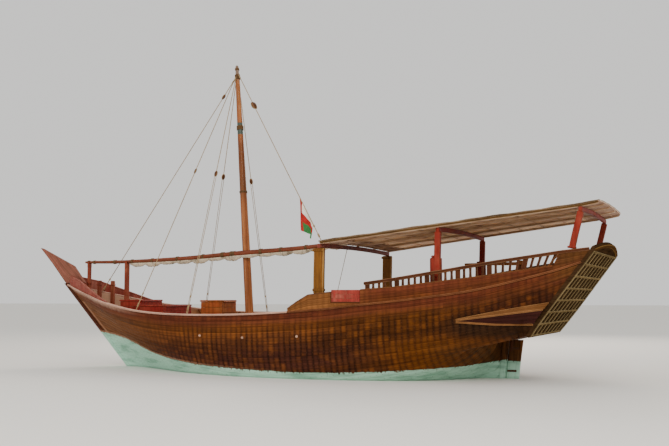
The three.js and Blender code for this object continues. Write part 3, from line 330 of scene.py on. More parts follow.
class Paint:
    def __init__(self, name):
        self.material = bpy.data.materials.new(name)
        self.material.use_nodes = True
        self.tree = self.material.node_tree
        self.shader = self.tree.nodes["Principled BSDF"]

    def plug(self, socket, value):
        if isinstance(value, Tone):
            self.tree.links.new(value.socket, socket)
        elif socket.type == "RGBA":
            socket.default_value = (*shade(value), 1)
        else:
            socket.default_value = value

    def node(self, kind, settings=None, inputs=None, out=0):
        made = self.tree.nodes.new("ShaderNode" + kind)
        for key, value in (settings or {}).items():
            if key != "stops":
                setattr(made, key, value)
                continue
            while len(made.color_ramp.elements) < len(value):
                made.color_ramp.elements.new(1)
            for stop, (place, colour) in zip(made.color_ramp.elements, value):
                stop.position, stop.color = place, (*shade(colour), 1)
        for key, value in (inputs or {}).items():
            self.plug(made.inputs[key], value)
        return Tone(self, made.outputs[out])

    def mark(self, name):
        return self.node("Attribute", {"attribute_name": name}, out=2)

    def split(self, vector):
        made = self.node("SeparateXYZ", inputs={0: vector}).socket.node
        return [Tone(self, socket) for socket in made.outputs]

    def place(self):
        return self.split(self.node("TexCoord", out=3))

    def plank(self):
        return self.split(self.node("UVMap", {"uv_map": "plank"}))[:2]

    def vector(self, x, y=0, z=0):
        return self.node("CombineXYZ", inputs={0: x, 1: y, 2: z})

    def noise(self, x, y=0, z=0, detail=4, rough=.55):
        return self.cloud(1, detail, rough, self.vector(x, y, z))

    def cloud(self, scale, detail, rough, place=None):
        # Noise at a place, which is the point's own place on the boat if none is given
        place = place or self.node("TexCoord", out=3)
        inputs = {"Vector": place, "Scale": scale, "Detail": detail, "Roughness": rough}
        return self.node("TexNoise", inputs=inputs)

    def random(self, value):
        return self.node("TexWhiteNoise", {"noise_dimensions": "1D"}, {"W": value})

    def level(self, value, low, high, start=0, end=1):
        # Rises smoothly from start to end as the value goes from low to high
        inputs = {0: value, 1: low, 2: high, 3: start, 4: end}
        return self.node("MapRange", {"interpolation_type": "SMOOTHSTEP"}, inputs)

    def ramp(self, value, *stops):
        return self.node("ValToRGB", {"stops": stops}, {0: value})

    def mix(self, share, first, second, kind="MIX"):
        settings = {"data_type": "RGBA", "blend_type": kind}
        return self.node("Mix", settings, {0: share, 6: first, 7: second}, 2)

    def shaded(self, colour, value):
        # A colour made lighter or darker by a value
        grey = self.node("CombineColor", inputs={0: value, 1: value, 2: value})
        return self.mix(1., colour, grey, "MULTIPLY")

    def finish(self, colour, rough, height=None, depth=.002, shine=.09, **constants):
        self.plug(self.shader.inputs["Base Color"], colour)
        self.plug(self.shader.inputs["Roughness"], rough)
        self.plug(self.shader.inputs["Specular IOR Level"], shine)
        if height is not None:
            bump = self.node("Bump", inputs={"Strength": 1, "Distance": depth, "Height": height})
            self.plug(self.shader.inputs["Normal"], bump)
        for key, value in constants.items():
            self.shader.inputs[key.replace("_", " ").title()].default_value = value
        return self.material


def shade(code):
    # A screen colour such as 0x7a3f22 as the linear light that the shader takes, or such light as it is
    if isinstance(code, tuple):
        return code
    parts = [(code >> shift & 255) / 255 for shift in (16, 8, 0)]
    return tuple(p / 12.92 if p <= .04045 else ((p + .055) / 1.055) ** 2.4 for p in parts)


def near(count, half):
    # How close a count is to a whole number: 1 at it, and 0 from a half-width on
    return count.paint.level(abs(count - count.floor() - .5), .5 - half, .5)


def timber(
    name, light, dark, rough=.55, worn=None, wear=.5, spread=.45, grime=.25, across=26, caulk=0,
    shine=.09,
):
    # Sawn timber, oiled or weathered: grain and fibre along the plank map, each board a little
    # lighter or darker, worn edges, a film of grime in slow patches and dark caulking beside boards
    paint = Paint(name)
    u, v = paint.plank()
    tone, edge = paint.mark("tone"), paint.mark("edge")
    grain = paint.noise(u * .9 + tone * 40, v * across, tone * 13, 7, .62)
    fibre = paint.noise(u * 7, v * across * 7, tone * 5, 2)
    middle = tuple((a + b) / 2 for a, b in zip(shade(light), shade(dark)))
    wood = paint.ramp(grain * .75 + fibre * .25, (.3, dark), (.5, middle), (.68, light))
    wood = paint.shaded(wood, tone * spread + (1 - spread / 2))
    patches = paint.cloud(1.7, 5, .6)
    rubbed = paint.level(edge ** 3 + patches * .8, 1.62 - wear, 1.75 - wear * .6)
    wood = paint.mix(rubbed * .75, wood, worn or light)
    wood = paint.shaded(wood, paint.level(patches, .3, .75, 1 - grime, 1))
    if caulk:
        wood = paint.mix(paint.level(edge, .8, .96) * caulk, wood, 0x1d140e)
    height = grain * .5 + fibre * .3
    return paint.finish(wood, paint.level(grain, .2, .8, rough - .1, rough + .12), height, .003, shine)


def painted(name, colour, faded, wood, rough=.5, wear=.5, streak=.3):
    # Brushed paint on timber: faded in patches, streaked downwards, and rubbed through to the wood
    # at the edges and in small chips
    paint = Paint(name)
    u, v = paint.plank()
    tone = paint.mark("tone")
    x, y, z = paint.place()
    slow = paint.noise(x * 1.3 + tone * 7, y * 1.3, z * 1.3, 6, .62)
    coat = paint.mix(paint.level(slow, .4, .68), colour, faded)
    run = paint.noise(x * 11, y * 11, z * .9, 5, .6)
    coat = paint.shaded(coat, paint.level(run, .35, .65, 1 - streak, 1.06))
    grain = paint.noise(u * 1.2, v * 30, tone * 9, 5)
    chips = paint.cloud(19, 6, .68)
    bare = paint.mark("edge") ** 3 * .55 + chips + slow * .35
    bare = paint.level(bare, 1.27 - wear * .3, 1.36 - wear * .25)
    coat = paint.mix(bare, coat, paint.shaded(paint.ramp(grain, (.3, wood), (.7, faded)), .9))
    coat = paint.shaded(coat, tone * .24 + .88)
    height = grain * .35 + bare * -.4
    return paint.finish(coat, paint.level(slow + bare * .4, .3, .9, rough - .08, rough + .2), height, .0022)


stemLine = (5.89, .953)     # x of the stem at the waterline, and its slope

# The plank map counts strakes across. The hull's start at 0 and the bulwark's follow them, and
# each of these starts at a count of its own

rows = {"quarter": 26, "inside": 40, "quarterInside": 46, "stem": 60, "rudder": 80, "starboard": 100}

planking = {
    "pitch": .158, "board": 5.4,      # metres between the frames' nail rows, and a plank's length
    "band": 0x622f20, "middle": 0x59321a, "low": 0x49281d,
    "gold": 0x5e3615, "glow": 0x80481c, "bow": 0x704628, "dark": 0x180d0a,
    "olive": 0x57401f, "knee": 0x8a5a30, "honey": 0x8a4e16, "tuck": 0x46341e,
    "plum": 0x4a251e, "stem": 0x43201a, "counterShadow": 0x312216, "bleached": 0xb08c76,
    "rabbet": 0xa57a60, "bottom": 0xa8d2bb, "bottomGrime": 0x7eaa92,
    "scum": 0x4f7258,
}


def hullPaint(name, line=True):
    # Varnished planking: each plank its own tone, faint seams, the frames' nail rows showing as
    # soft painted upright shadows with a warm painted gleam between them, redder under the rail, a
    # glowing belt below that, duller low down, gold aft over honey-coloured lower strakes, plum by
    # the quarters, olive at the raised strake's after end, a painted shadow below the quarter
    # mouldings at the stern and bleached at the bow; below the painted line a pale, stained bottom
    # paint
    paint = Paint(name)
    u, v = paint.plank()
    x, y, z = paint.place()
    strake = v.floor()
    board = u / planking["board"] + strake * .37
    own = paint.random(strake * 7.13 + board.floor() * 3.71)
    grain = paint.noise(u * .5 + own * 50, v * 5, own * 20, 7, .62)
    fibre = paint.noise(u * 5, v * 32, own * 20, 3)
    slow = paint.noise(x * .8, y * .8, z * 1.6, 5, .6)
    patch = paint.noise(x * .45 + 9, y * .45, z * 2.6, 4, .6)
    under = paint.mark("under")

    def along(start, end, waver=1):
        # Comes in from start to end, lengthwise, on a wavering edge
        return paint.level(x + slow * waver, start, end)

    def down(start, end, waver):
        # Comes in from start to end below the rail, on a wavering edge
        return paint.level(under + (slow - .5) * waver, start, end)

    def belt(middle, outer, inner):
        return paint.level(abs(under + (slow - .5) * .25 - middle), outer, inner)

    def laid(wood, *stretches):
        for key, share in stretches:
            wood = paint.mix(share, wood, planking[key])
        return wood

    honey = down(.85, 1.2, .2) * along(-1.8, -3.6)
    knee = paint.level(v, rows["quarter"] - .1, rows["quarter"] + .1) * along(-2.6, -1.4)
    wood = laid(
        planking["middle"],
        ("low", down(.6, 1.2, .5) * along(6.6, 3.2)),
        ("gold", along(-.2, -3.4, 2) * .8),
        ("glow", belt(.45, .2, .06) * paint.level(abs(x - .6), 4.6, 1.6) * .38),
        ("bow", along(3.4, 6.8, 1.2) * .75),
        ("band", down(.42, .1, .3) * .85),
        ("olive", paint.level(under, .32, .22) * along(-6.2, -7.4) * .6),
        ("knee", knee * .7),
        ("plum", paint.level(under, .1, .35) * along(-2.8, -5.4, 2) * .52),
        ("honey", honey * .3),
    )
    wood = paint.shaded(wood, 1 - belt(.64, .38, .2) * along(-.5, -1.7) * .38)
    # Painted shadow: a dark band at the stern below the quarter mouldings, where their shade falls
    counterShadow = paint.level(abs(z + slow * .3 - 1.52), .4, .15) * along(-3.9, -5)
    tuck = paint.level(z + slow * .3, 1.3, .95) * along(-3.4, -4.8)
    wood = laid(wood, ("counterShadow", counterShadow * .85), ("tuck", tuck * .55))

    beat = x / planking["pitch"] + (patch - .5) * .5
    cell = paint.random(strake * 17.3 + (beat + .5).floor() * 5.1)
    offBeat, offMiddle = abs(beat - beat.floor() - .5), abs(v - strake - .5)
    depth = paint.level(under, .2, .6, .35, 1) * paint.level(x + slow, 5.6, 2.4, .15, 1)
    # Painted gleam: warm lit patches between the nail rows, low and aft, left out of the painted shadow
    gleam = paint.level(paint.noise(x * 1.9, y * 1.9, z * 4.4, 6, .68) + cell * .22, .52, .84)
    wood = laid(wood, ("glow", gleam * depth * paint.level(counterShadow, .6, 0) * .42))
    wood = paint.shaded(wood, own * .36 + cell * .16 + .74)
    wood = paint.shaded(wood, paint.level(grain * .8 + fibre * .2, .3, .7, .62, 1.28))

    stain = paint.noise(x * 7, y * 7, z * 1.6, 5, .62)
    row = paint.level(offBeat, .4, .05) * paint.level(stain, .3, .62, .4, 1) * depth
    head = paint.level(abs(offMiddle - .25) * 1.2 + offBeat, .16, .05) * depth
    seam = near(v, .08)
    drip = paint.level(paint.noise(x * 5, y * 5, z * .35, 6, .65), .5, .72) * .35
    dark = row * (.68 - honey * .25) + head * .2
    dark = dark.largest(seam * .38).largest(near(board, .0016) * .5).largest(drip)
    bleached = paint.level(under + (stain - .5) * .12, .2, .06) * along(4.6, 6.4)
    within = paint.level(v, rows["inside"] - .5, rows["inside"] - .1) * along(4.9, 6.1)
    wood = laid(wood, ("dark", dark), ("bleached", bleached.largest(within * .8) * .75))
    rough = paint.level(grain + slow, .7, 1.3, .45, .65)
    height = grain * .4 + fibre * .2 - seam * .5
    if line:
        ahead = z * stemLine[1] + stemLine[0] - x
        edge = paint.cloud(3, 6, .7) - .5
        run = paint.level(paint.noise(x * 17, y * 17, z * 2, 4, .6), .5, .7)
        above = paint.mark("line") + edge * .07 + run * .05
        below = paint.level(above, .012, -.012)
        fringe = paint.level(abs(above - .03), .035, .01) * paint.level(x, -1, 4)
        wood = laid(
            wood,
            ("stem", paint.level(ahead + (grain - .5) * .04, .05, .01) * .85),
            ("rabbet", paint.level(abs(ahead - .15), .07, .05) * .55),
            ("rabbet", fringe * .6),
        )
        grime = paint.noise(x * 1.1, y * 1.1, z * 6, 6, .65)
        pale = laid(
            planking["bottom"],
            ("bottomGrime", paint.level(grime, .42, .7)),
            ("scum", paint.level(z + grime * .1, .12, .02) * .5),
            ("scum", seam * .25),
        )
        wood = paint.mix(below, wood, pale)
        rough = rough + below * .2
    return paint.finish(wood, rough, height, .003, .025)


def deckPaint(name):
    # Scrubbed deck boards, grey-brown and lighter where they are walked on
    return timber(name, 0x9c7a58, 0x5e3f2a, .68, 0xb09272, .3, .75, .35, 18, .85)


def ropePaint(name, light, dark):
    # Laid rope: slanting strands that follow the plank map, with soiled stretches
    paint = Paint(name)
    u, v = paint.plank()
    strand = near(u * 26 + v * 30, .5)
    soil = paint.cloud(3, 5, .65)
    colour = paint.mix(strand * .6, light, dark)
    colour = paint.mix(paint.level(soil, .45, .75) * .6, colour, dark)
    return paint.finish(colour, .85, strand * -1 + soil * .3, .002)


def mattingPaint(name):
    # Palm matting over laths: long streaks fore and aft, a fine over-and-under weave, pale worn
    # strips and damp ones below, the underside made pale as painted light thrown up from below, and
    # weathered to a grey-brown above
    paint = Paint(name)
    x, y, z = paint.place()
    streak = paint.noise(x * .35, y * 9, z * .4, 7, .68)
    patch = paint.noise(x * 1.1, y * 1.4, z, 5, .6)
    weave = near(x * 24, .42) * .5 + near(y * 24, .42) * .5
    # Painted light: the underside's colours are pale, standing in for light thrown up under the roof
    brown = paint.ramp(streak, (.3, 0xc8a68c), (.46, 0xdabca2), (.6, 0xe8ceb6), (.72, 0xf4e2d0))
    faded = paint.level(x + (patch - .5) * .6, -7.2, -7.9)
    mat = paint.mix(faded * .7, brown, 0xeec4ae)
    weathered = paint.ramp(streak, (.3, 0x5c4836), (.5, 0x7a634c), (.72, 0x9a8468))
    mat = paint.mix(paint.level(paint.mark("upper") + (patch - .5) * .3, .2, .6), mat, weathered)
    mat = paint.shaded(mat, paint.level(patch, .3, .7, .72, 1.1))
    mat = paint.shaded(mat, 1 - weave * .35)
    return paint.finish(
        mat, .82, weave * -.8 + streak * .8, .006,
        subsurface_weight=.9, subsurface_radius=(1, .9, .78), subsurface_scale=.14,
    )


def clothPaint(name, colours, folds=.25):
    # Sun-bleached cotton canvas: a fine plain weave along its own map, seams between its cloths,
    # and grey soiling
    paint = Paint(name)
    u, v = paint.plank()
    weave = near(u * 210, .5) * near(v * 210, .5)
    soil = paint.cloud(5, 6, .66)
    colour = paint.mix(paint.level(soil, .42, .7), *colours)
    seam = near(u / .62, .02)
    colour = paint.shaded(colour, 1 - seam * folds)
    return paint.finish(colour, .9, weave * .5 + seam + soil * .5, .0012, sheen_weight=.1)


def flagPaint(name):
    # Three plain bands, pale over red over green, and a red one at the upper end, woven and faded
    paint = Paint(name)
    u, v = paint.plank()
    fade = paint.cloud(6, 5, .6)
    bands = paint.mix(paint.level(v, .22, .225), 0xe6dfd0, 0xa82a24)
    bands = paint.mix(paint.level(v, .43, .435), bands, 0x3a7440)
    bands = paint.mix(paint.level(u, .225, .22), bands, 0xa82a24)
    bands = paint.shaded(bands, paint.level(fade, .3, .7, .82, 1.1))
    return paint.finish(bands, .85, near(u * 300, .5) + fade, .0008)


def mastPaint(name):
    # Oiled pole: warm orange-brown, a dark green band under the hounds, a greyed head
    paint = Paint(name)
    u, v = paint.plank()
    x, y, z = paint.place()
    grain = paint.noise(u * .5, v * 14, 3, 7, .6)
    wood = paint.ramp(grain, (.3, 0x6e3a1a), (.5, 0x945630), (.7, 0xae7444))
    patches = paint.noise(x * 2, y * 2, z * .8, 5, .6)
    wood = paint.shaded(wood, paint.level(patches, .3, .7, .72, 1.12))
    # Painted shade: the pole darker on a wavering stretch about six metres up, below the green band
    wood = paint.shaded(wood, 1 - paint.level(abs(z + patches * .6 - 6.3), 1.3, .6) * .42)
    crack = paint.level(paint.noise(u * .7, v * 40, 8, 3), .66, .72) * .6
    wood = paint.mix(crack, wood, 0x3a1f10)
    grey = paint.level(z, 8.45, 8.75) * .8
    wood = paint.mix(grey, wood, 0x77695c)
    band = paint.level(abs(z - 7.1), .19, .16)
    wood = paint.mix(band * .9, wood, 0x37504a)
    rough = paint.level(grain, .2, .8, .36, .55)
    return paint.finish(wood, rough, grain * .5 - crack, .003, coat_weight=.1)


def ironPaint(name):
    # Galvanised iron gone brown
    paint = Paint(name)
    rust = paint.cloud(30, 6, .7)
    colour = paint.ramp(rust, (.35, 0x33261f), (.6, 0x5b3a27), (.75, 0x6f665c))
    return paint.finish(colour, paint.level(rust, .3, .7, .5, .85), rust, .002, metallic=.35)


paints = {
    "mast": mastPaint("mast pole"),
    "hull": hullPaint("hull planking"),
    "topsides": hullPaint("bulwark planking", False),
    "keel": timber("keel", 0xd3dccd, 0xa0b09c, .7, 0xa8a08a, .15),
    "wale": timber("wale", 0x6e3616, 0x3c1c0c, .55, 0x94643e, .6),
    "band": timber("sheer moulding", 0x6e3c20, 0x40200f, .55, 0x9c6844, .5),
    "rail": timber("bleached rail", 0xd09c82, 0x96604a, .66, 0xe4c4b0, .6),
    "handrail": timber("handrail", 0x5c3018, 0x30180a, .6, 0x8c6244, .45),
    "deck": deckPaint("deck boards"),
    "red": painted("red paint", 0x84231a, 0x963c2c, 0x6d4530, .5, .5),
    "gate": painted("gate paint", 0x96362c, 0xa85a4a, 0x7a5038, .5, .5),
    "brick": painted("brick paint", 0x872a1e, 0x9a4632, 0x5d3520, .55, .45),
    "russet": painted("russet paint", 0x74301f, 0x8a4a34, 0x5d3520, .55, .45),
    "horn": painted("horn paint", 0x853a2d, 0x9c5f4f, 0x6b4636, .55, .7),
    "ochre": timber("ochre timber", 0x8e5c22, 0x543010, .55, 0xb88c50, .5, .25, .35, 34),
    "hatch": painted("hatch paint", 0x90441c, 0x9a5a2c, 0x6a3a1c, .5, .5),
    "transom": timber("transom boards", 0x4a3420, 0x261a10, .65, 0x644822, .35, shine=0),
    "lattice": timber("crossed battens", 0x8c7650, 0x5c4a2e, .62, 0xaa9670, .6, shine=0),
    "crown": timber("transom head", 0x664628, 0x3c2814, .6, 0x806034, .5, shine=0),
    "gold": timber("quarter boards", 0x865830, 0x523014, .5, 0xb08050, .45),
    "soffit": timber("quarter soffit", 0x48201a, 0x26100c, .55, 0x6c4030, .3),
    "yard": timber("yard", 0x985038, 0x58301e, .5, 0xb8805c, .4, .2, .3, 12),
    "lath": timber("canopy laths", 0xd8b08e, 0xac8464, .68, 0xe4c8a8, .4),
    "pale": timber("pale poles", 0xd2a88c, 0x9c745e, .6, 0xe4c6ac, .5),
    "tiller": timber("tiller", 0x9c5c2c, 0x5e3416, .42, 0xb8844e, .4),
    "mat": mattingPaint("matting"),
    "canvas": clothPaint("sailcloth", (0xc8b89e, 0x6e6250), .5),
    "rope": ropePaint("rope", 0xb09670, 0x705a3e),
    "darkRope": ropePaint("tarred rope", 0x76573a, 0x40301f),
    "block": timber("block shells", 0x6e4428, 0x38200f, .45, 0x8a6040, .4),
    "flag": flagPaint("flag"),
    "iron": ironPaint("nail iron"),
}
print("Paints mixed")

# The lines of the hull. A share at runs from 0 at the stern to 1 at the stem, and a level from 0 at
# the rabbet through 1 at the deck's edge to 2 at the rail's top

sheer = [            # x, height of the rail, half-breadth
    (-8.06, 2.96, 2.08), (-7.3, 2.72, 2.2), (-5.6, 2.31, 2.38), (-4, 2.08, 2.52), (-2.6, 1.93, 2.6),
    (-1.5, 1.81, 2.62), (0, 1.71, 2.6), (1.1, 1.665, 2.55), (2.3, 1.65, 2.43), (3.6, 1.68, 2.19),
    (4.7, 1.77, 1.88), (6, 1.97, 1.34), (6.8, 2.15, .93), (7.6, 2.34, .49), (8.31, 2.52, .08),
]
sections = [         # share at, fullness, logarithm of the hollow
    (0, 5, math.log(40)), (.03, 5, math.log(26)), (.1, 5, math.log(9)), (.2, 4.8, math.log(3.2)),
    (.3, 4.5, math.log(1.5)), (.42, 4.2, math.log(.92)), (.55, 4, math.log(.78)),
    (.7, 3, math.log(.82)), (.82, 2.1, math.log(.92)), (.92, 1.5, 0), (1, 1.2, 0),
]
transomSides = [     # height, half-breadth
    (1.18, 1.95), (1.5, 2.11), (2, 2.17), (2.96, 2.08), (3.3, 2.06),
]
strakeHeads = np.array([                            # x, height
    (-7.29, 2.86), (-5.81, 2.63), (-3.5, 2.36), (-1.85, 2.24), (-1.23, 2.17), (-.9, 1.99), (-.64, 1.815),
])
handrailHeads = np.array([(-8.34, 3.31), (-7.33, 3.2), (-4.72, 2.77), (-3.5, 2.58), (-2.74, 2.48)])
lines = {
    "rabbet": (-1.2, -1.05), "bulwark": .5, "wall": .07, "endHalf": .07,
    "tuck": 1.05, "transom": (-6.65, 1.18, -.762), "counterReach": .25, "rakeReach": .12,
    "straightEnd": .03, "solidEnd": -7.3, "railDepth": .045, "strakeDrop": .0603, "midGap": .006,
}


def curve(table, column, x):
    # Through the rows of a table, between two rows a cubic with the slope of the rows around each,
    # and straight on beyond the ends
    places, values = np.array(table, float)[:, [0, column]].T
    slopes = np.empty_like(values)
    slopes[1:-1] = (values[2:] - values[:-2]) / (places[2:] - places[:-2])
    slopes[[0, -1]] = (values[[1, -1]] - values[[0, -2]]) / (places[[1, -1]] - places[[0, -2]])
    i = np.clip(np.searchsorted(places, x, side="right") - 1, 0, len(places) - 2)
    span = places[i + 1] - places[i]
    t = (x - places[i]) / span
    cubic = values[i] * (1 + 2 * t) * (1 - t) ** 2 + slopes[i] * span * t * (1 - t) ** 2
    cubic = cubic + values[i + 1] * t * t * (3 - 2 * t) + slopes[i + 1] * span * t * t * (t - 1)
    return np.where((t < 0) | (t > 1), values[i] + t * (values[i + 1] - values[i]), cubic)


def rakedX(z):
    x, foot, slope = lines["transom"]
    return x + slope * (z - foot)


def stemX(z):
    return stemLine[0] + stemLine[1] * z


sheerAft, sheerFore = rakedX(sheer[0][1]), stemX(sheer[-1][1])
sternPost = (        # height, x of the planking's after end
    (-1.2, -5.376), (1.05, -5.646), (1.18, -6.65), (3.5, rakedX(3.5)),
)


def atSheer(x):
    return (x - sheerAft) / (sheerFore - sheerAft)


def atRail(x):
    # The station where the rail's own line passes x
    at = np.linspace(0, 1, 2001)
    return np.interp(x, skin(at, 2)[:, 0], at)


def heightAt(at, level):
    rabbet = lines["rabbet"][0] + (lines["rabbet"][1] - lines["rabbet"][0]) * at
    rail = curve(sheer, 1, sheerAft + (sheerFore - sheerAft) * at)
    deck = rail - lines["bulwark"]
    return np.where(level <= 1, rabbet + (deck - rabbet) * level, deck + (rail - deck) * (level - 1))


def lengthwise(at, level):
    # A slanting line from stern to stem, bent near the stern to the post and the transom
    low, high = heightAt(0, 0), heightAt(0, 2)
    endZ = heightAt(0, level)
    endX = np.interp(endZ, *np.array(sternPost).T)
    plain = sternPost[0][1] + (endZ - low) / (high - low) * (sheerAft - sternPost[0][1])
    bend = (endX - plain) * np.clip(1 - at / lines["counterReach"], 0, 1) ** 2
    return plain + (stemX(heightAt(1, level)) - plain) * at + bend


def skin(at, level):
    # Breadth grows as (1 - (1 - height) ^ full) ^ hollow; the last stretch aft runs straight to the
    # stern post below the tuck and to the transom's sides above it
    at, level = np.broadcast_arrays(np.asarray(at, float), np.asarray(level, float))
    reach = np.maximum(at, lines["straightEnd"])
    z = heightAt(reach, level)
    share = (z - heightAt(reach, 0)) / (heightAt(reach, 2) - heightAt(reach, 0))
    half = curve(sheer, 2, sheerAft + (sheerFore - sheerAft) * reach)
    full, hollow = curve(sections, 1, reach), np.exp(curve(sections, 2, reach))
    shape = (1 - (1 - np.minimum(share, 1)) ** full) ** hollow
    drawn = stacked(lengthwise(reach, level), np.maximum(lines["endHalf"], half * shape), z)
    endZ = heightAt(0, level)
    tuck, foot = lines["tuck"], lines["transom"][1]
    spread = np.clip((endZ - tuck) / (foot - tuck), 0, 1)
    corner = lines["endHalf"] + (transomSides[0][1] - lines["endHalf"]) * spread
    endHalf = np.where(endZ > foot, curve(transomSides, 1, endZ), corner)
    end = stacked(np.interp(endZ, *np.array(sternPost).T), endHalf, endZ)
    t = np.clip(at / lines["straightEnd"], 0, 1)[..., None]
    return end + (drawn - end) * t


def aboveRail(at, z, inset=0):
    # A point over the rail's line, leaning aft with the transom near the stern
    rail = skin(at, 2)
    lean = lines["transom"][2] * np.clip(1 - at / lines["rakeReach"], 0, 1)
    return stacked(rail[..., 0] + lean * (z - rail[..., 2]), rail[..., 1] - inset, z)


def handrailTop(at):
    return np.interp(skin(at, 2)[..., 0], *handrailHeads.T)


def strakeTop(at):
    x = skin(at, 2)[..., 0]
    aft = handrailTop(at) - lines["strakeDrop"]
    return np.where(x < lines["solidEnd"], aft, np.interp(x, *strakeHeads.T))


def deckAt(x):
    # Height of the planking's upper edge, on which the decks lie
    return skin(atSheer(x), 1)[2]


def keptOff(form, least=lines["midGap"]):
    # A port form kept from crossing the middle
    form.points[:, 1] = np.maximum(form.points[:, 1], least)
    return form


def halfBreadth(x, z):
    # Half-breadth of the planking at a place, found by closing in on it
    at = np.clip(atSheer(x), 0, 1)
    for turn in range(40):
        low, deck, rail = (heightAt(at, step) for step in (0, 1, 2))
        level = np.where(z < deck, (z - low) / (deck - low), 1 + (z - deck) / (rail - deck))
        at = np.clip(at + (x - lengthwise(at, level)) / (sheerFore - sheerAft), 0, 1)
    return skin(at, level)[..., 1]


def normalsOf(points):
    # Outward on the port side: the rise of the section crossed with the run of the line
    normal = np.cross(np.gradient(points, axis=1), np.gradient(points, axis=0))
    return normal / np.maximum(np.linalg.norm(normal, axis=-1, keepdims=True), 1e-9)


# Planking: strakes of equal girth, hollowed a little at every seam

strakes = {
    "stations": 150, "below": 23, "above": 3, "groove": .006, "toMetre": 5.9,
    "profile": ((0, -1), (.03, -.35), (.07, 0), (.5, .22), (.93, 0), (.97, -.35)),    # share across, height
}
paintLine = [    # x, height of the bottom paint's edge
    (-6.2, .56), (-5.03, .39), (-4.03, .31), (-2.91, .24), (-1.66, .19), (-.65, .18), (1.26, .23),
    (2.65, .31), (4.11, .51), (5.49, .87), (6.9, 1.02),
]
bulwarkTop = 2 - lines["railDepth"] / lines["bulwark"]


def girthLevels(at, low, high, shares):
    # Levels that part the girth between two levels in given shares, at every station
    fine = np.linspace(low, high, 500)
    girth = lengthsAlong(skin(at[:, None], fine[None]), 1)
    return np.array([np.interp(shares * row[-1], row, fine) for row in girth])


def strakeShares(count):
    shares, heights = np.array(strakes["profile"]).T
    shares = (np.arange(count)[:, None] + shares).ravel()
    return np.append(shares, count), np.append(np.tile(heights, count), -1.)


def planked(at, low, high, count, first):
    shares, heights = strakeShares(count)
    points = skin(at[:, None], girthLevels(at, low, high, shares / count))
    points = points + normalsOf(points) * heights[:, None] * strakes["groove"]
    return points, stacked(points[..., 0], shares + first)


def hullMarks(points):
    x, z = points[..., 0], points[..., 2]
    rail = curve(sheer, 1, np.clip(x, sheerAft, sheerFore))
    return {"line": z - curve(paintLine, 1, x), "under": rail - z}


def addHull():
    at = np.linspace(0, 1, strakes["stations"])
    port, places = planked(at, 0, 1, strakes["below"], 0)
    points = np.concatenate([port, (port * (1, -1, 1))[:, ::-1]], axis=1)
    around = closed(places, places[:, ::-1] + (0, rows["starboard"]))
    form = gridForm(points, around, "strips", **hullMarks(points))
    addPiece("hull_planking", form, "hull", "hull")
    for name, side in sides.items():
        upper, places = planked(at, 1, bulwarkTop, strakes["above"], strakes["below"])
        inner = skin(at[:, None], np.linspace(bulwarkTop, 1, 5)[None])
        inner[..., 1] = np.maximum(lines["midGap"], inner[..., 1] - lines["wall"])
        points = np.concatenate([upper, inner], axis=1)
        around = closed(places, stacked(inner[..., 0], rows["inside"] + np.arange(5) / 1.7))
        form, replaced = gridForm(points, around, **hullMarks(points)), "bulwark_" + name
        addPiece("bulwark_planking_" + name, form, "topsides", replaced, side=side)


# Nail heads where the planks cross the frames, and the frames' heads inside the bulwarks

nails = {"fore": 6.9, "aft": -6.2, "lowest": -.35, "fromMiddle": .12, "radius": .012, "height": .003}
ribs = {
    "fore": 6.9, "aft": -7.1, "pitch": .42, "width": .075, "depth": .06, "sunk": .006, "chamfer": .008,
    "leastHeight": .08, "leastHalf": .25, "headGap": .002,
}


def addNails():
    # A head in the middle of each strake at every frame
    pitch = planking["pitch"]
    fine = np.linspace(.015, .99, 700)
    seats = []
    for count, low, high in ((strakes["below"], 0, 1), (strakes["above"], 1, bulwarkTop)):
        levels = girthLevels(fine, low, high, (np.arange(count) + .5) / count)
        seats.append(skin(fine[:, None], levels))
    seats = np.concatenate(seats, axis=1)
    beats = np.arange(math.ceil(nails["aft"] / pitch), math.floor(nails["fore"] / pitch)) + .5
    beats = beats * pitch
    spots, normals = [], []
    for line, out in zip(seats.swapaxes(0, 1), normalsOf(seats).swapaxes(0, 1)):
        at = np.interp(beats, line[:, 0], fine)
        spot, normal = (stacked(*(np.interp(at, fine, row) for row in of.T)) for of in (line, out))
        keep = (beats > line[0, 0]) & (beats < line[-1, 0])
        keep &= (spot[:, 2] > nails["lowest"]) & (spot[:, 1] > nails["fromMiddle"])
        spots.append(spot[keep])
        normals.append(normal[keep])
    form = studs(np.concatenate(spots), np.concatenate(normals), nails["radius"], nails["height"])
    addPiece("planking_nails", paired(form), "iron", ())


def addRibs():
    # From the deck to the rail, wherever there is height and breadth for one
    forms = []
    inboard = np.array((0, lines["wall"] + ribs["depth"] / 2 - ribs["sunk"], 0))
    for x in np.arange(ribs["aft"], ribs["fore"], ribs["pitch"]):
        at = atSheer(x)
        foot, head = skin(at, 1) - inboard, skin(at, bulwarkTop) - inboard
        foot[2] += poop["rise"] if x < poop["fore"] else deck["depth"]
        if head[2] - foot[2] < ribs["leastHeight"] or head[1] < ribs["leastHalf"]:
            continue
        head[2] -= ribs["headGap"]
        forms.append(beam(foot, head, 3, ribs["width"], ribs["depth"], (1, 0, 0), ribs["chamfer"]))
    addPiece("bulwark_ribs", paired(joined(forms)), "wale", ())


sides = {"port": 1, "starboard": -1}
poop = {"fore": -3, "rise": .35}
deck = {
    "depth": .0403, "seam": .012, "board": .145, "gap": .004, "aft": .002, "fore": .985, "margin": .15,
    "proud": .015, "least": .02,
}


# Rails, raised quarter strakes, balustrades

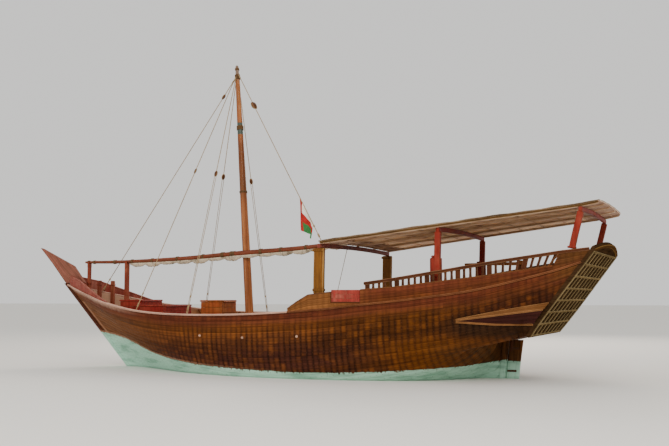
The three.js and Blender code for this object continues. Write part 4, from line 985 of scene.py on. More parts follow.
rail = {"outside": .035, "inside": .095, "aft": -.64, "stations": 110, "chamfer": .01}
quarter = {
    "planks": 3, "stations": 90, "step": .0003, "hollow": .8, "inset": .035,
    "band": (.065, .03),              # width, and how much of it lies inboard
    "cap": (.094, .026, .009),        # width, depth, and its middle's drop below the strake's top
}
gate = {
    "fore": -1.85, "aft": -2.65, "sill": 1.95, "top": 2.29, "thick": .045, "pin": .015, "boards": 3,
    "clear": .008, "slit": .0005, "seam": .004, "core": .018, "batten": .07, "stop": .04,
}
balusters = {
    "fore": -2.83, "pitch": .152, "width": .066, "depth": .04, "group": 5, "stanchion": .12,
    "waist": .16, "tenon": (.004, .03), "rail": (.11, .08),
}


def railBar(at, inboard, width, **more):
    # A timber along the rail's line with its top at that height, some of its width inboard
    path = skin(at, 2) - (0, inboard - width / 2, lines["railDepth"] / 2)
    return bar(path, width, lines["railDepth"], chamfer=rail["chamfer"], **more)


def addRails(name, side):
    at = np.linspace(atSheer(rail["aft"]), 1, rail["stations"])
    form = keptOff(railBar(at, rail["inside"], rail["outside"] + rail["inside"], tone=.5))
    addPiece("rail_cap_" + name, form, "rail", "rail_" + name, side=side)


def quarterWall(side):
    # From the bulwark's head to the raised line, in planks, with the gate's gap as a step down
    step = quarter["step"]
    turns = [lines["solidEnd"] - step, lines["solidEnd"] + step, *strakeHeads[1:-1, 0]]
    if side > 0:
        turns += [gate["aft"] - step, gate["aft"], gate["fore"], gate["fore"] + step]
    at = np.linspace(0, atSheer(rail["aft"] - step), quarter["stations"])
    at = np.unique(np.concatenate([at, atRail(turns)]))
    foot, edge, top = skin(at, bulwarkTop), skin(at, 2), strakeTop(at)
    if side > 0:
        gap = (edge[:, 0] > gate["aft"] - step / 2) & (edge[:, 0] < gate["fore"] + step / 2)
        top = np.where(gap, gate["sill"], top)

    def face(shares, inset=0):
        z = foot[:, None, 2] + (top - foot[:, 2])[:, None] * shares
        return aboveRail(at[:, None], z, inset)

    shares, heights = strakeShares(quarter["planks"])
    outer = face(shares / quarter["planks"])
    low = outer[..., 2] < edge[:, None, 2]
    outer[..., 0] = np.where(low, edge[:, None, 0], outer[..., 0])
    outer[..., 1] += heights * strakes["groove"] * quarter["hollow"]
    back = np.linspace(1, 0, 5)
    inner = face(back, lines["wall"])
    points = np.concatenate([outer, inner], axis=1)
    places = stacked(outer[..., 0], rows["quarter"] + shares)
    around = closed(places, stacked(inner[..., 0], rows["quarterInside"] + back * 2))
    under = np.clip(.3 - (points[..., 2] - foot[:, None, 2]) * .5, .05, 1)
    return gridForm(points, around, line=points[..., 2], under=under)


def addQuarter(name, side):
    wall, replaced = quarterWall(side), "quarter_bulwark_" + name
    addPiece("quarter_planks_" + name, wall, "topsides", replaced, side=side)
    width, inboard = quarter["band"]
    band = railBar(np.linspace(0, atSheer(rail["aft"]), quarter["stations"]), inboard, width)
    addPiece("quarter_band_" + name, band, "band", (), side=side)
    ends = [lines["solidEnd"], gate["aft"], gate["fore"], rail["aft"]]
    heads = strakeHeads[1:-1, 0]
    width, depth, drop = quarter["cap"]
    caps = []
    for aft, fore in [ends[:2], ends[2:]] if side > 0 else [ends[::3]]:
        x = np.concatenate([np.linspace(aft, fore, 40), heads[(heads > aft) & (heads < fore)]])
        at = atRail(np.unique(x))
        path = aboveRail(at, strakeTop(at) - drop, quarter["inset"])
        caps.append(bar(path, width, depth, chamfer=.007))
    addPiece("quarter_cap_" + name, caps, "wale", (), side=side)


def addBalustrade(name, side):
    # A handrail on flat balusters with a slight waist, every fifth one a broad stanchion
    at = np.linspace(deck["aft"], atSheer(handrailHeads[-1, 0]), 70)
    width, depth = balusters["rail"]
    path = aboveRail(at, handrailTop(at) - depth / 2, quarter["inset"])
    forms = [bar(path, width, depth, chamfer=.014, tone=.6)]
    slim = balusters["width"] * (1 - balusters["waist"] * np.sin(np.linspace(0, math.pi, 7)) ** 2)
    count = int((balusters["fore"] - lines["solidEnd"]) / balusters["pitch"]) + 1
    for i in range(count):
        x = balusters["fore"] - i * balusters["pitch"]
        foot = np.interp(x, *strakeHeads.T) - balusters["tenon"][0]
        head = handrailTop(atSheer(x)) - balusters["tenon"][1]
        path = aboveRail(atSheer(x), np.linspace(foot, head, 7), lines["wall"] / 2)
        width = slim if i % balusters["group"] else balusters["stanchion"]
        forms.append(bar(path, width, balusters["depth"], (1, 0, 0), .006))
    replaced = "balustrade_" + name
    addPiece(f"balustrade_{name}_joinery", forms, "handrail", replaced, side=side)


def addGate():
    # Boards with a core that shuts their seams, three battens and a pin, and the stop outside it
    thick, top = gate["thick"], gate["top"]
    axisX = gate["aft"] + gate["pin"] + gate["slit"]
    foreX = gate["fore"] - gate["clear"]
    foot = gate["sill"] + gate["clear"]
    rise = (top - foot) / gate["boards"]

    def onWall(x, z, out=thick / 2):
        # A point that far out from the wall's inner face
        return x, skin(atSheer(x), 2)[1] - lines["wall"] + out, z

    z = (foot + top) / 2
    ends = onWall(axisX + .012, z), onWall(foreX - gate["seam"], z)
    forms = [beam(*ends, 6, gate["core"], top - foot - .01, (0, 1, 0), .002)]
    for k in range(gate["boards"]):
        z = foot + rise * (k + .5)
        ends = onWall(axisX + .008, z), onWall(foreX, z)
        forms.append(beam(*ends, 6, thick * .8, rise - gate["seam"], (0, 1, 0), .005))
    for x in (axisX + .1, (axisX + foreX) / 2, foreX - .09):
        ends = onWall(x, foot + .005), onWall(x, top - .004)
        forms.append(beam(*ends, 3, gate["batten"], thick * .98, (1, 0, 0), .004))
    pinY = onWall(gate["aft"], 0, gate["pin"])[1]
    pin = straight((axisX, pinY, foot), (axisX, pinY, top), 9)
    forms.append(tube(pin, gate["pin"] * .96, 16))
    addPiece("gate_boards", forms, "gate", "boarding_gate", "gate")
    clear = thick + lines["midGap"]
    depth = lines["wall"] - clear
    ends = [onWall(x, gate["sill"] + .018, clear + depth / 2) for x in (gate["aft"], gate["fore"])]
    addPiece("gate_stop", beam(*ends, 6, depth, gate["stop"], chamfer=.004), "wale", ())


# Keel, posts, stem head and bow boards

backbone = {
    "half": .09, "depth": .15, "heel": -1.05, "head": 2.5447, "step": .0003,
    "keel": [
        (-5.526, -1.2013), (4.849, -1.0503), (4.749, -1.25), (-6.33, -1.46), (-6.33, -1.42),
        (-5.5263, -1.42),
    ],
    "forefoot": [(4.8893, -1.05), (4.8493, -1.051), (4.7493, -1.25), (4.9094, -1.19)],
    "post": [(-5.3763, -1.2), (-5.6449, 1.038), (-5.7949, 1.038), (-5.5263, -1.2)],
}
stemHead = {
    "outline": [(7.69, 2.56), (8.42, 2.545), (8.96, 3.17), (9.46, 3.69), (9.36, 3.66), (8.13, 3.09)],
    "half": .055, "facing": (.117, .03), "sunk": .02, "short": (.06, -.03),
}
bowBoard = {
    "aft": 5.9, "fore": 8.16, "toe": .02, "height": .3, "growth": 1.4, "thick": .05, "hollow": .004,
    "cap": (.075, .03), "sunk": .012, "least": .056,
}


def stemMarks(form):
    # The stem and the stern post take the planking's finish: their marks are measured as its are
    form.marks = hullMarks(form.points)
    form.marks["under"] = np.ones(len(form.points))
    form.places = [some * (1, strakes["toMetre"]) + (0, rows["stem"]) for some in form.places]
    return form


def addBackbone():
    half, heel, head = backbone["half"], backbone["heel"], backbone["head"]
    addPiece("keel_timber", plate(backbone["keel"], -half, half, (1, 0)), "keel", "keel")
    stem = list(backbone["forefoot"])
    stem += [(stemX(z) + backbone["depth"], z) for z in np.linspace(heel + .26, head, 12)]
    stem += [(stemX(z) + backbone["step"], z) for z in np.linspace(head, heel + .1, 12)]
    stem = stemMarks(plate(stem, -half, half, (stemLine[1], 1), .02))
    addPiece("stem_timber", stem, "hull", "stem_post")
    post = stemMarks(plate(backbone["post"], -half, half, (-.12, 1), .015))
    addPiece("stern_timber", post, "hull", "stern_post")

    outline, half = stemHead["outline"], stemHead["half"]
    ends = np.insert(outline[1:3], 1, 0, axis=1)
    along = (ends[1] - ends[0]) / np.linalg.norm(ends[1] - ends[0])
    ends += np.array((-along[2], 0, along[0])) * stemHead["sunk"] + np.outer(stemHead["short"], along)
    facing = beam(*ends, 5, *stemHead["facing"], chamfer=.008)
    board = plate(outline, -half, half, (1, 1.07), .016, .4)
    addPiece("stem_head_timber", board, "horn", "stem_head")
    addPiece("stem_head_facing", facing, "wale", "stem_head")


def addBowBoard(name, side):
    # Two planks on the rail that rise from a toe to their height, and a cap along their top
    aft, fore = atSheer(bowBoard["aft"]), atSheer(bowBoard["fore"])
    at = np.linspace(aft, fore, 40)
    grown = np.minimum(1, bowBoard["growth"] * (at - aft) / (fore - aft))
    rise = bowBoard["toe"] + (bowBoard["height"] - bowBoard["toe"]) * grown
    foot, thick = skin(at, 2), bowBoard["thick"]
    shares, heights = strakeShares(2)
    outer = foot[:, None] + stacked(0, heights * bowBoard["hollow"], rise[:, None] * shares / 2)
    points = np.concatenate([outer, outer[:, ::-3] - (0, thick, 0)], axis=1)
    points[..., 1] = np.maximum(points[..., 1], bowBoard["least"])
    board = gridForm(points, edge=0, tone=.45)
    path = foot + stacked(0, -thick / 2, rise - bowBoard["sunk"])
    cap = bar(path, *bowBoard["cap"], chamfer=.008, tone=.7)
    forms, replaced = [board, keptOff(cap, bowBoard["least"])], "bow_board_" + name
    addPiece("bow_board_planks_" + name, forms, "horn", replaced, side=side)


# Quarter mouldings, transom and its crossed battens

moulding = {
    "tip": (-5.05, 1.53, .03), "lower": 1.45, "upper": 1.97, "ridge": .7, "edge": .014, "proud": .17,
    "deep": .12, "seams": (.23, .47, .855), "seamDepth": .012,
    "faces": [
        ("soffit", "soffit", "dark_timber", (0, .22, .23, .24, .46, .47, .48, .7)),
        ("boards", "gold", "ochre_timber", (.7, .85, .855, .86, 1)),
    ],
}
transom = {
    "thick": .08, "crown": 3.47, "corner": 3.3, "half": 2.06, "lap": .025, "boards": 13,
    "crownSteps": (.3, .6, .85, 1), "head": (.12, .1),
}
lattice = {
    "across": 8, "along": 7, "width": .05, "depth": .034, "inset": .012, "low": 1.22, "high": 3.24,
    "outer": (.06, .03),      # how much broader the outermost are, and further in
}


def addMoulding(name, side):
    # Two faces that grow from a tip towards the transom: from the lower edge out to a ridge and
    # back to the upper edge, with a seam along each plank
    t = np.linspace(0, 1, 26)[:, None]
    tipX, tipZ, tipHalf = moulding["tip"]
    low = tipZ - tipHalf + (moulding["lower"] - tipZ + tipHalf) * np.minimum(1, t * 2)
    high = tipZ + tipHalf + (moulding["upper"] - tipZ - tipHalf) * t
    ridge = moulding["ridge"]

    def face(turns, seams=0):
        # Points on the wedge's face at shares of its height
        z = low + (high - low) * turns
        x = tipX + (rakedX(z) + .002 - tipX) * t
        bulge = np.where(turns < ridge, turns / ridge, (1 - turns) / (1 - ridge))
        proud = moulding["edge"] + (moulding["proud"] - moulding["edge"]) * t * bulge - seams * (t > .15)
        return stacked(x, halfBreadth(x, z) + proud, z)

    for piece, paint, slot, turns in moulding["faces"]:
        outer = face(np.array(turns), np.isin(turns, moulding["seams"]) * moulding["seamDepth"])
        points = np.concatenate([outer, outer[:, [-1, 0]] - (0, moulding["deep"], 0)], axis=1)
        form, replaced = gridForm(points, edge=0, tone=.5), "quarter_moulding_" + name
        addPiece(f"quarter_{piece}_{name}", form, paint, replaced, crease=25, side=side)
    beads = []
    for turn, wide, tone in ((0, .045, .9), (ridge, .04, .6), (1, .035, .3)):
        path = face(np.array([turn]))[:, 0] + (0, .004, 0)
        beads.append(bar(path, .03, wide, chamfer=.008, tone=tone))
    addPiece("quarter_beads_" + name, beads, "gold", (), side=side)


def onTransom(y, z, out):
    # A point on the raked plane, set off square to it
    slope = lines["transom"][2]
    size = math.hypot(1, slope)
    return stacked(rakedX(z) - out / size, y, z + out * slope / size)


def crownAt(y):
    # Height of the transom's rounded head
    return transom["crown"] - (transom["crown"] - transom["corner"]) * (y / transom["half"]) ** 2


def addTransom():
    boards, corner, steps = transom["boards"], transom["corner"], transom["crownSteps"]
    foot, slope = lines["transom"][1:]
    shares, heights = strakeShares(boards)
    z = np.append(foot + (corner - foot) * shares / boards, [corner] * len(steps))
    heights = np.append(heights, [0, 0, 0, -.4])
    y = np.linspace(-1, 1, 25) * (curve(transomSides, 1, z) + transom["lap"])[:, None]
    rise = np.append(0 * shares, steps)[:, None]
    z = z[:, None] + np.maximum(0, crownAt(y) - corner) * rise
    aft = onTransom(y, z, transom["thick"] + heights[:, None] * strakes["groove"])
    fore = onTransom(y[:, ::-1], z[:, ::-1], .0003)
    form = gridForm(np.concatenate([aft, fore], axis=1), edge=0, tone=.5)
    form.places = [form.points[some][..., [1, 2]] for some in form.faces]
    tones = np.repeat(rng.random(boards), len(strakes["profile"]))
    form.marks["tone"] = np.repeat(np.append(tones, [.5] * (len(z) - len(tones))), 50)
    y = np.linspace(-transom["half"], transom["half"], 30)
    wide, deep = transom["head"]
    head = bar(onTransom(y, crownAt(y) - deep / 2, .045), wide, deep, (-1, 0, slope), .014)
    addPiece("transom_boards", form, "transom", "transom")
    addPiece("transom_head", head, "crown", "transom")


def addLattice():
    # Upright battens fanned between the transom's sides, and level ones over them
    forms = []
    low, high, width, depth = (lattice[key] for key in ("low", "high", "width", "depth"))
    wide = width / (2 * curve(transomSides, 1, low))
    tall = width / (high - low)
    out = transom["thick"] + .0003 + depth / 2
    z = np.linspace(low, high, 12)
    for k in range(lattice["across"] + 1):
        u = 2 * (k * (1 - wide) / lattice["across"] + wide / 2) - 1
        outermost = abs(u) > .95
        broader, further = np.multiply(lattice["outer"], outermost)
        path = onTransom(u * (curve(transomSides, 1, z) - lattice["inset"] - further), z, out - .003)
        tone = 0 if outermost else rng.random()
        forms.append(bar(path, width + broader, depth, (0, 1, 0), .006, tone=tone))
    for k in range(lattice["along"] + 1):
        z = low + (high - low) * (k * (1 - tall) / lattice["along"] + tall / 2)
        half = curve(transomSides, 1, z) - lattice["inset"]
        path = onTransom(np.linspace(-half, half, 8), z, out)
        forms.append(bar(path, width, depth, (lines["transom"][2], 0, 1), .006))
    addPiece("transom_battens", forms, "lattice", "transom_lattice")


# Decks

def addDeck(name, start, end, rise, node):
    # A slab, boards laid fore and aft on it with open seams, and a broad board round the edge
    at = np.linspace(start, end, 60)
    edge, upper = skin(at, 1), skin(at, 1 + rise / lines["bulwark"])
    x, z = edge[:, 0], edge[:, 2]
    half = np.minimum(edge[:, 1], upper[:, 1]) - lines["wall"] - deck["seam"]
    half = np.maximum(deck["least"], half)
    ring = [(-1, .0003), (1, .0003), (1, rise - .014), (-1, rise - .014)]
    slab = np.stack([stacked(x, half * side * .995, z + up) for side, up in ring], axis=1)
    forms = [gridForm(slab, edge=0, tone=.1)]
    for k in range(-17, 18):
        y = k * (deck["board"] + deck["gap"])
        fits = half - deck["margin"] > abs(y) + deck["board"] / 2 - .03
        if fits.sum() > 2:
            path = stacked(x[fits], y, z[fits] + rise - deck["proud"] / 2)
            forms.append(bar(path, deck["board"], deck["proud"], chamfer=.003))
    margin = stacked(x, np.maximum(deck["least"], half - deck["margin"] / 2), z + rise - .009)
    edge = keptOff(bar(margin, deck["margin"], .017, chamfer=.003, tone=.3), .002)
    forms += [edge, sided(edge, -1)]
    if node == "poop_deck":
        front = stacked(x[-1] + .004, np.linspace(-1, 1, 16) * (half[-1] - .02), z[-1] + rise - .05)
        forms.append(bar(front, .05, .1, (1, 0, 0), .01, tone=.2))
    addPiece(name, forms, "deck", node)


# Mast, yard, sail, crutches

mast = {
    "foot": np.array((1.808, 0, 1.15)), "head": np.array((2.32, 0, 9.02)),
    "seizings": [          # height, turns, thickness
        (8.66, 6, .012), (8.9, 3, .01), (7.12, 5, .012), (1.52, 4, .013), (5.2, 3, .01),
    ],
}
mastRadii = np.array([(0, .122), (.25, .115), (.6, .096), (.92, .068), (1, .046)])    # share, radius
partners = {
    "reach": .27, "fromMiddle": (-.2, -.068, .068, .2), "timber": (.13, .128), "chock": (.05, .022),
    "cross": (.09, .03), "crossReach": .26, "chocks": 10,
}
yardRows = [     # x, y, z, radius
    (-1.64, .295, 3.6655, .048), (0, .262, 3.495, .064), (1.9, .226, 3.39, .07), (4, .175, 3.26, .062),
    (6.04, .13, 3.195, .052), (7.66, .06, 3.2, .04),
]
lashings = {
    "thick": .0085,
    "places": [            # x, turns
        (-1.5, 3), (-.9, 4), (-.1, 4), (.7, 4), (1.35, 5), (2.28, 9), (2.62, 6), (3.3, 4), (4.2, 4),
        (5.1, 4), (5.84, 4), (6.5, 5), (7.3, 4), (7.52, 3),
    ],
}
parrel = {"x": 1.958, "turns": (-.017, 0, .017), "slack": .056, "legs": .1}
sail = {
    "fore": 5.93, "aft": -1.37, "radius": .078, "cloth": .0035, "ties": 13, "girth": .8, "bights": 3,
    "stations": 330, "taper": .25, "flat": .9, "hang": 1.75, "clear": .012,
}
crutches = [     # name, x, width, node
    ("fore_crutch", 7.5, .1, "crutch_post_fore"), ("aft_crutch", 6.04, .12, "crutch_post_aft"),
]


def mastAt(t):
    return mast["foot"] + (mast["head"] - mast["foot"]) * np.asarray(t)[..., None]


def mastShare(z):
    return (z - mast["foot"][2]) / (mast["head"][2] - mast["foot"][2])


def mastRadius(t):
    return np.interp(t, *mastRadii.T)


def addMast():
    t = np.linspace(.006, .994, 90)
    radius = mastRadius(t) * (1 + .012 * np.sin(t * 31) * np.sin(t * 13 + 1))
    t = np.concatenate([[.004], t, [.998, 1]])
    radius = np.concatenate([[radius[0] * .9], radius, [radius[-1] * .8, radius[-1] * .35]])
    pole = tube(mastAt(t), radius, 28, tone=.5, reference=(1, 0, 0))
    addPiece("mast_spar", pole, "mast", "mast")
    axis = mast["head"] - mast["foot"]
    forms = []
    for z, turns, thick in mast["seizings"]:
        t = mastShare(z)
        forms.append(ropeTurns(mastAt(t), axis, mastRadius(t), thick, turns, 16))
    addPiece("mast_seizings", forms, "darkRope", ())


def addPartners():
    # Four timbers fore and aft, two across them, and a ring of chocks round the mast
    x = mast["foot"][0]
    wide, deep = partners["timber"]
    top = deckTop(x) + wide
    forms = []
    for y in partners["fromMiddle"]:
        ends = [(x + dx, y, top - wide / 2) for dx in (-partners["reach"], partners["reach"])]
        forms.append(beam(*ends, 2, wide, deep, chamfer=.012))
    for dx in partners["fromMiddle"][::3]:
        ends = [(x + dx, y, top + .012) for y in (-partners["crossReach"], partners["crossReach"])]
        forms.append(beam(*ends, 2, *partners["cross"], (1, 0, 0), .008))
    for k in range(partners["chocks"]):
        angle = k / partners["chocks"] * math.tau
        arm = np.array((math.cos(angle), math.sin(angle), 0))
        centre = mastAt(mastShare(top)) + arm * (mastRadii[0, 1] + .012)
        ends = centre - (0, 0, .04), centre + (0, 0, .05)
        forms.append(beam(*ends, 2, *partners["chock"], np.cross(arm, (0, 0, 1)), .005))
    addPiece("mast_step", forms, "wale", "mast_partners")


def yardAt(x, column):
    return curve(yardRows, column, x)


def yardPoint(x):
    return stacked(x, yardAt(x, 1), yardAt(x, 2))


def addYard():
    x = np.linspace(yardRows[0][0], yardRows[-1][0], 120)
    radius = yardAt(x, 3) * (1 + .02 * np.sin(x * 5.1) * np.sin(x * 2.3))
    radius[[0, -1]] *= .7
    pole = tube(yardPoint(x), radius, 20, tone=.5, reference=(0, 1, 0))
    addPiece("yard_spar", pole, "yard", "yard", "spar")
    ropes = []
    for x, turns in lashings["places"]:
        ropes.append(ropeTurns(yardPoint(x), (1, 0, -.03), yardAt(x, 3) * .99, lashings["thick"], turns))
    addPiece("yard_lashings", ropes, "darkRope", (), "spar")


def addParrel():
    # Turns of rope from the yard round the mast's far side and back
    x = parrel["x"]
    y, z = yardAt(x, 1), yardAt(x, 2)
    t = mastShare(z)
    reach = mastRadius(t) + parrel["slack"]
    angle = np.linspace(-math.pi, 0, 26)
    loop = stacked(np.cos(angle) * reach, np.sin(angle) * reach, 0)
    legs = np.array([(-reach, y - .005, 0), (-reach, parrel["legs"], 0)])
    path = np.concatenate([legs, loop, legs[::-1] * (-1, 1, 1)]) + (mastAt(t)[0], 0, z)
    turns = [tube(path + (0, 0, up), lashings["thick"], 8, reference=(0, 0, 1)) for up in parrel["turns"]]
    addPiece("parrel_ropes", turns, "rope", "parrel", "spar")


def clothForm(middle, thick, places):
    # A shell of cloth, half its thickness to each side of a middle surface, and that surface's area
    normal = normalsOf(middle) * thick / 2
    points = np.concatenate([middle + normal, (middle - normal)[:, ::-1]], axis=1)
    square = np.cross(np.diff(middle, axis=0)[:, :-1], np.diff(middle, axis=1)[:-1])
    form = gridForm(points, closed(places, places[:, ::-1]), edge=0, tone=.5)
    return form, np.linalg.norm(square, axis=-1).sum()


def addSail():
    # Cloth gathered in three nested bights under the yard: at each station the cloth runs down one
    # side, round and up the other, three times over, and sags in scallops between its ties
    fore, aft = sail["fore"], sail["aft"]
    x = np.linspace(fore, aft, sail["stations"])[:, None]
    run = (x - aft) / (fore - aft) * sail["ties"]
    sag = .4 + .6 * rng.random(sail["ties"] + 1)[np.floor(run).astype(int)]
    scallop = np.abs(np.sin(run * math.pi)) ** .7 * sag
    ends = np.clip(np.minimum(x - aft, fore - x) / sail["taper"], 0, 1) ** .5
    scale = sail["radius"] * (.34 + .72 * scallop) * (.45 + .55 * ends)
    t = np.linspace(0, 1, 60)
    fold = t * sail["bights"]
    bight = np.floor(np.minimum(fold, sail["bights"] - .001))
    swing = np.pi * (fold - bight)
    swing = np.where(bight % 2 == 0, swing, np.pi - swing)
    size = 1 - .24 * fold + .02 * np.sin(t * 60)
    wide = np.cos(swing) * size * sail["flat"]
    ripple = .1 * np.sin(x * 23 + t * 7) + .07 * np.sin(x * 57 - t * 13)
    y = yardAt(x, 1) + wide * scale * (1 + ripple)
    drop = yardAt(x, 3) * (1 - np.abs(wide) * .3) + sail["clear"]
    z = yardAt(x, 2) - drop - np.sin(swing) * size * scale * (sail["hang"] + ripple)
    form, area = clothForm(stacked(x, y, z), sail["cloth"], stacked(x, t * sail["girth"]))
    piece = addPiece("sail_cloth", form, "canvas", "furled_sail", "spar", 60)
    length = fore - aft
    print("Sail cloth", round(area, 2), "square metres")
    round(area / length, 3)


def addCrutches():
    # A post up to the yard with a cheek on either side of it, and a lashing part of the way up
    for name, x, width, node in crutches:
        y, z, radius = (yardAt(x, column) for column in (1, 2, 3))
        foot = deckAt(x) + .02
        forms = [beam((x, y, foot), (x, y, z - radius - .001), 10, width, width, chamfer=.012)]
        for s in (-1, 1):
            start = np.array((x, y + s * (radius + .018), z - radius - .12))
            forms.append(beam(start, start + (0, 0, radius + .13), 3, .022, width * .7, chamfer=.005))
        forms.append(ropeTurns((x, y, foot + .7), (0, 0, 1), width * .56, .008, 4))
        addPiece(name, forms, "russet", node)


# Canopy: posts, beams and poles, matting roof

roofRows = np.array([          # x, underside, half-breadth
    (-8.43, 4.35, 2.09), (-8.01, 4.27, 2.13), (-4.65, 3.88, 2.4), (-1.52, 3.51, 2.64),
])
roofAft, roofFore = roofRows[[0, -1], 0]
canopy = {
    "depth": .045, "camber": .05, "purlins": (-.96, -.5, 0, .5, .96), "pole": .06, "poleDrop": .0028,
    "beam": (.09, .11), "beamTop": .05, "beamEnd": .06, "lath": (.045, .02), "lathPitch": .62,
    "sidePole": .035, "frontPole": (.05, .04), "aftLath": (.11, .016), "foreLath": (.05, .042),
}
posts = [        # name, foot x, head x, y, length, width, what it stands on, cheek's length and top, paint
    ("front", -1.5, -1.52, 2.545, .28, .11, "strake", 0, 0, "ochre"),
    ("middle", -4.5, -4.56, 2.19, .15, .13, "poop", .29, 3.08, "brick"),
    ("aft", -7.78, -8, 2.07, .15, .11, "handrail", 0, 0, "brick"),
]


def onRoof(x, across, drop=0):
    # A point a little below the roof's underside, at a share of its half-breadth
    x = np.asarray(x, float)
    z = np.interp(x, roofRows[:, 0], roofRows[:, 1])
    half = np.interp(x, roofRows[:, 0], roofRows[:, 2])
    return stacked(x, across * half, z + canopy["camber"] * (1 - across ** 2) - drop)


def acrossRoof(x, y, drop):
    return onRoof(x, y / np.interp(x, roofRows[:, 0], roofRows[:, 2]), drop)


def addMatting():
    # The roof's upper and lower faces with the poles showing through as slow waves, and a
    # frayed edge
    x = np.linspace(roofAft, roofFore, 110)[:, None]
    across = np.linspace(-1, 1, 61)[None]
    wave = .004 * np.sin(x * 9.1) + .006 * np.sin(x * 3.3 + across * 2) + .004 * np.sin(across * 12.5)
    border = np.abs(across) > .985
    frayed = across * (1 - .006 * (1 + np.sin(x * 41) * np.sin(x * 17)) * border)
    low = onRoof(x, frayed, -np.maximum(0, wave) * .5)
    high = onRoof(x, frayed, .008 - canopy["depth"] - wave)
    points = np.concatenate([low, high[:, ::-1]], axis=1)
    upper = np.concatenate([border, np.ones_like(border)], axis=1)
    roof = gridForm(points, edge=0, tone=.5, upper=upper)
    addPiece("matting_roof", roof, "mat", "canopy_roof")


def addFrame():
    # Poles fore and aft below the matting, laths across them, poles along its sides, and a beam on
    # each pair of posts
    x, pole = np.linspace(roofAft + .025, roofFore - .005, 24), canopy["pole"]
    forms = []
    for across in canopy["purlins"]:
        path = onRoof(x, across, canopy["poleDrop"] + pole / 2)
        forms.append(bar(path, pole * .96, pole * .96, chamfer=.016, sway=.0015))
    for x in np.arange(-8.2, -1.6, canopy["lathPitch"]):
        path = onRoof(x, np.linspace(-.985, .985, 16), .012)
        forms.append(bar(path, *canopy["lath"], (1, 0, 0), .005))
    addPiece("canopy_purlins", forms, "lath", "canopy_frame")
    x, thick = np.linspace(roofAft + .02, roofFore - .03, 40), canopy["sidePole"]
    edges = [bar(onRoof(x, side * .988, .02), thick, thick, chamfer=.01) for side in (-1, 1)]
    addPiece("roof_side_poles", edges, "crown", ())
    wide, deep = canopy["beam"]
    for name, _, headX, y, *_ in posts:
        half = y + canopy["beamEnd"]
        path = acrossRoof(headX, np.linspace(-half, half, 14), canopy["beamTop"] + deep / 2)
        form = bar(path, wide, deep, (1, 0, 0), .012)
        paint = "horn" if name == "front" else "brick"
        addPiece("canopy_beam_" + name, form, paint, "canopy_frame")


def addEdgePoles():
    # A pole across the front edge, and the ends of the laths that show beyond the matting
    path = onRoof(roofFore - .035, np.linspace(-.9857, .9857, 20), .022)
    pale = [bar(path, *canopy["frontPole"], (1, 0, 0), .012, sway=.003)]
    for across in np.linspace(-.97, .97, 31):
        x = np.linspace(roofAft + .005, -7.45 - .25 * rng.random(), 4)
        path = onRoof(x, across * np.linspace(1, .9, 4), .009)
        pale.append(bar(path, *canopy["aftLath"], chamfer=.004))
    for across in np.linspace(-.93, .93, 15):
        x = np.linspace(-1.95 - .2 * rng.random(), roofFore - .01 + .008 * rng.random(), 3)
        pale.append(bar(onRoof(x, across, .024), *canopy["foreLath"], chamfer=.012))
    addPiece("roof_edge_poles", pale, "pale", ())


def footHeight(x, on):
    at = atSheer(x)
    return {"poop": deckAt(x) + poop["rise"], "strake": strakeTop(at), "handrail": handrailTop(at)}[on]


def addPosts():
    # The front posts with a collar at foot and head, the middle ones with a cheek that ends in a
    # step, and the aft ones with a shoe
    for name, footX, headX, y, long, wide, on, cheek, cheekTop, paint in posts:
        head = acrossRoof(headX, y, canopy["beamTop"] + canopy["beam"][1])[2]
        foot = footHeight(footX, on) - .01

        def upright(low, high, steps, long, wide, chamfer, lean=0, **more):
            ends = (footX, y, low), (footX + lean, y, high)
            return beam(*ends, steps, long, wide, (1, 0, 0), chamfer, **more)

        forms = [upright(foot, head, 24, long, wide, .014, headX - footX, sway=.0015, tone=.5)]
        if cheek:
            forms.append(upright(foot, cheekTop, 8, cheek, wide * .98, .03, tone=.4))
            forms.append(upright(cheekTop, cheekTop + .05, 2, cheek * .8, wide * .9, .02))
        if name == "front":
            for z in (foot + .06, head - .09):
                forms.append(upright(z, z + .07, 2, long + .03, wide + .03, .012, tone=.3))
        if name == "aft":
            forms.append(upright(foot + .01, foot + .06, 2, long + .05, wide + .02, .012, -.005))
        for side, turn in sides.items():
            addPiece(f"{name}_post_{side}", forms, paint, f"post_{name}_{side}", side=turn)


# Lockers and hatch, each a hollow box of boards with a lid on a pin along its aft edge

boxes = [        # name, aft, fore, half, top, lid, paint, body of the lid
    ("locker_fore", 5.24, 5.92, .62, 2.03, .045, "red", "fore_lid"),
    ("locker_aft", 4.3, 5.1, .8, 1.88, .045, "red", "aft_lid"),
    ("hatch", 2.52, 3.22, .43, 2.02, .05, "hatch", "hatch_cover"),
]
boxWork = {
    "wall": .035, "board": .16, "seam": .003, "corner": .058, "floor": .02, "over": .025, "planks": 5,
    "pin": .0145, "pinAft": .0155, "pinClear": .008, "batten": .07, "battenIn": .05,
}


def deckTop(x):
    return deckAt(x) + deck["depth"]


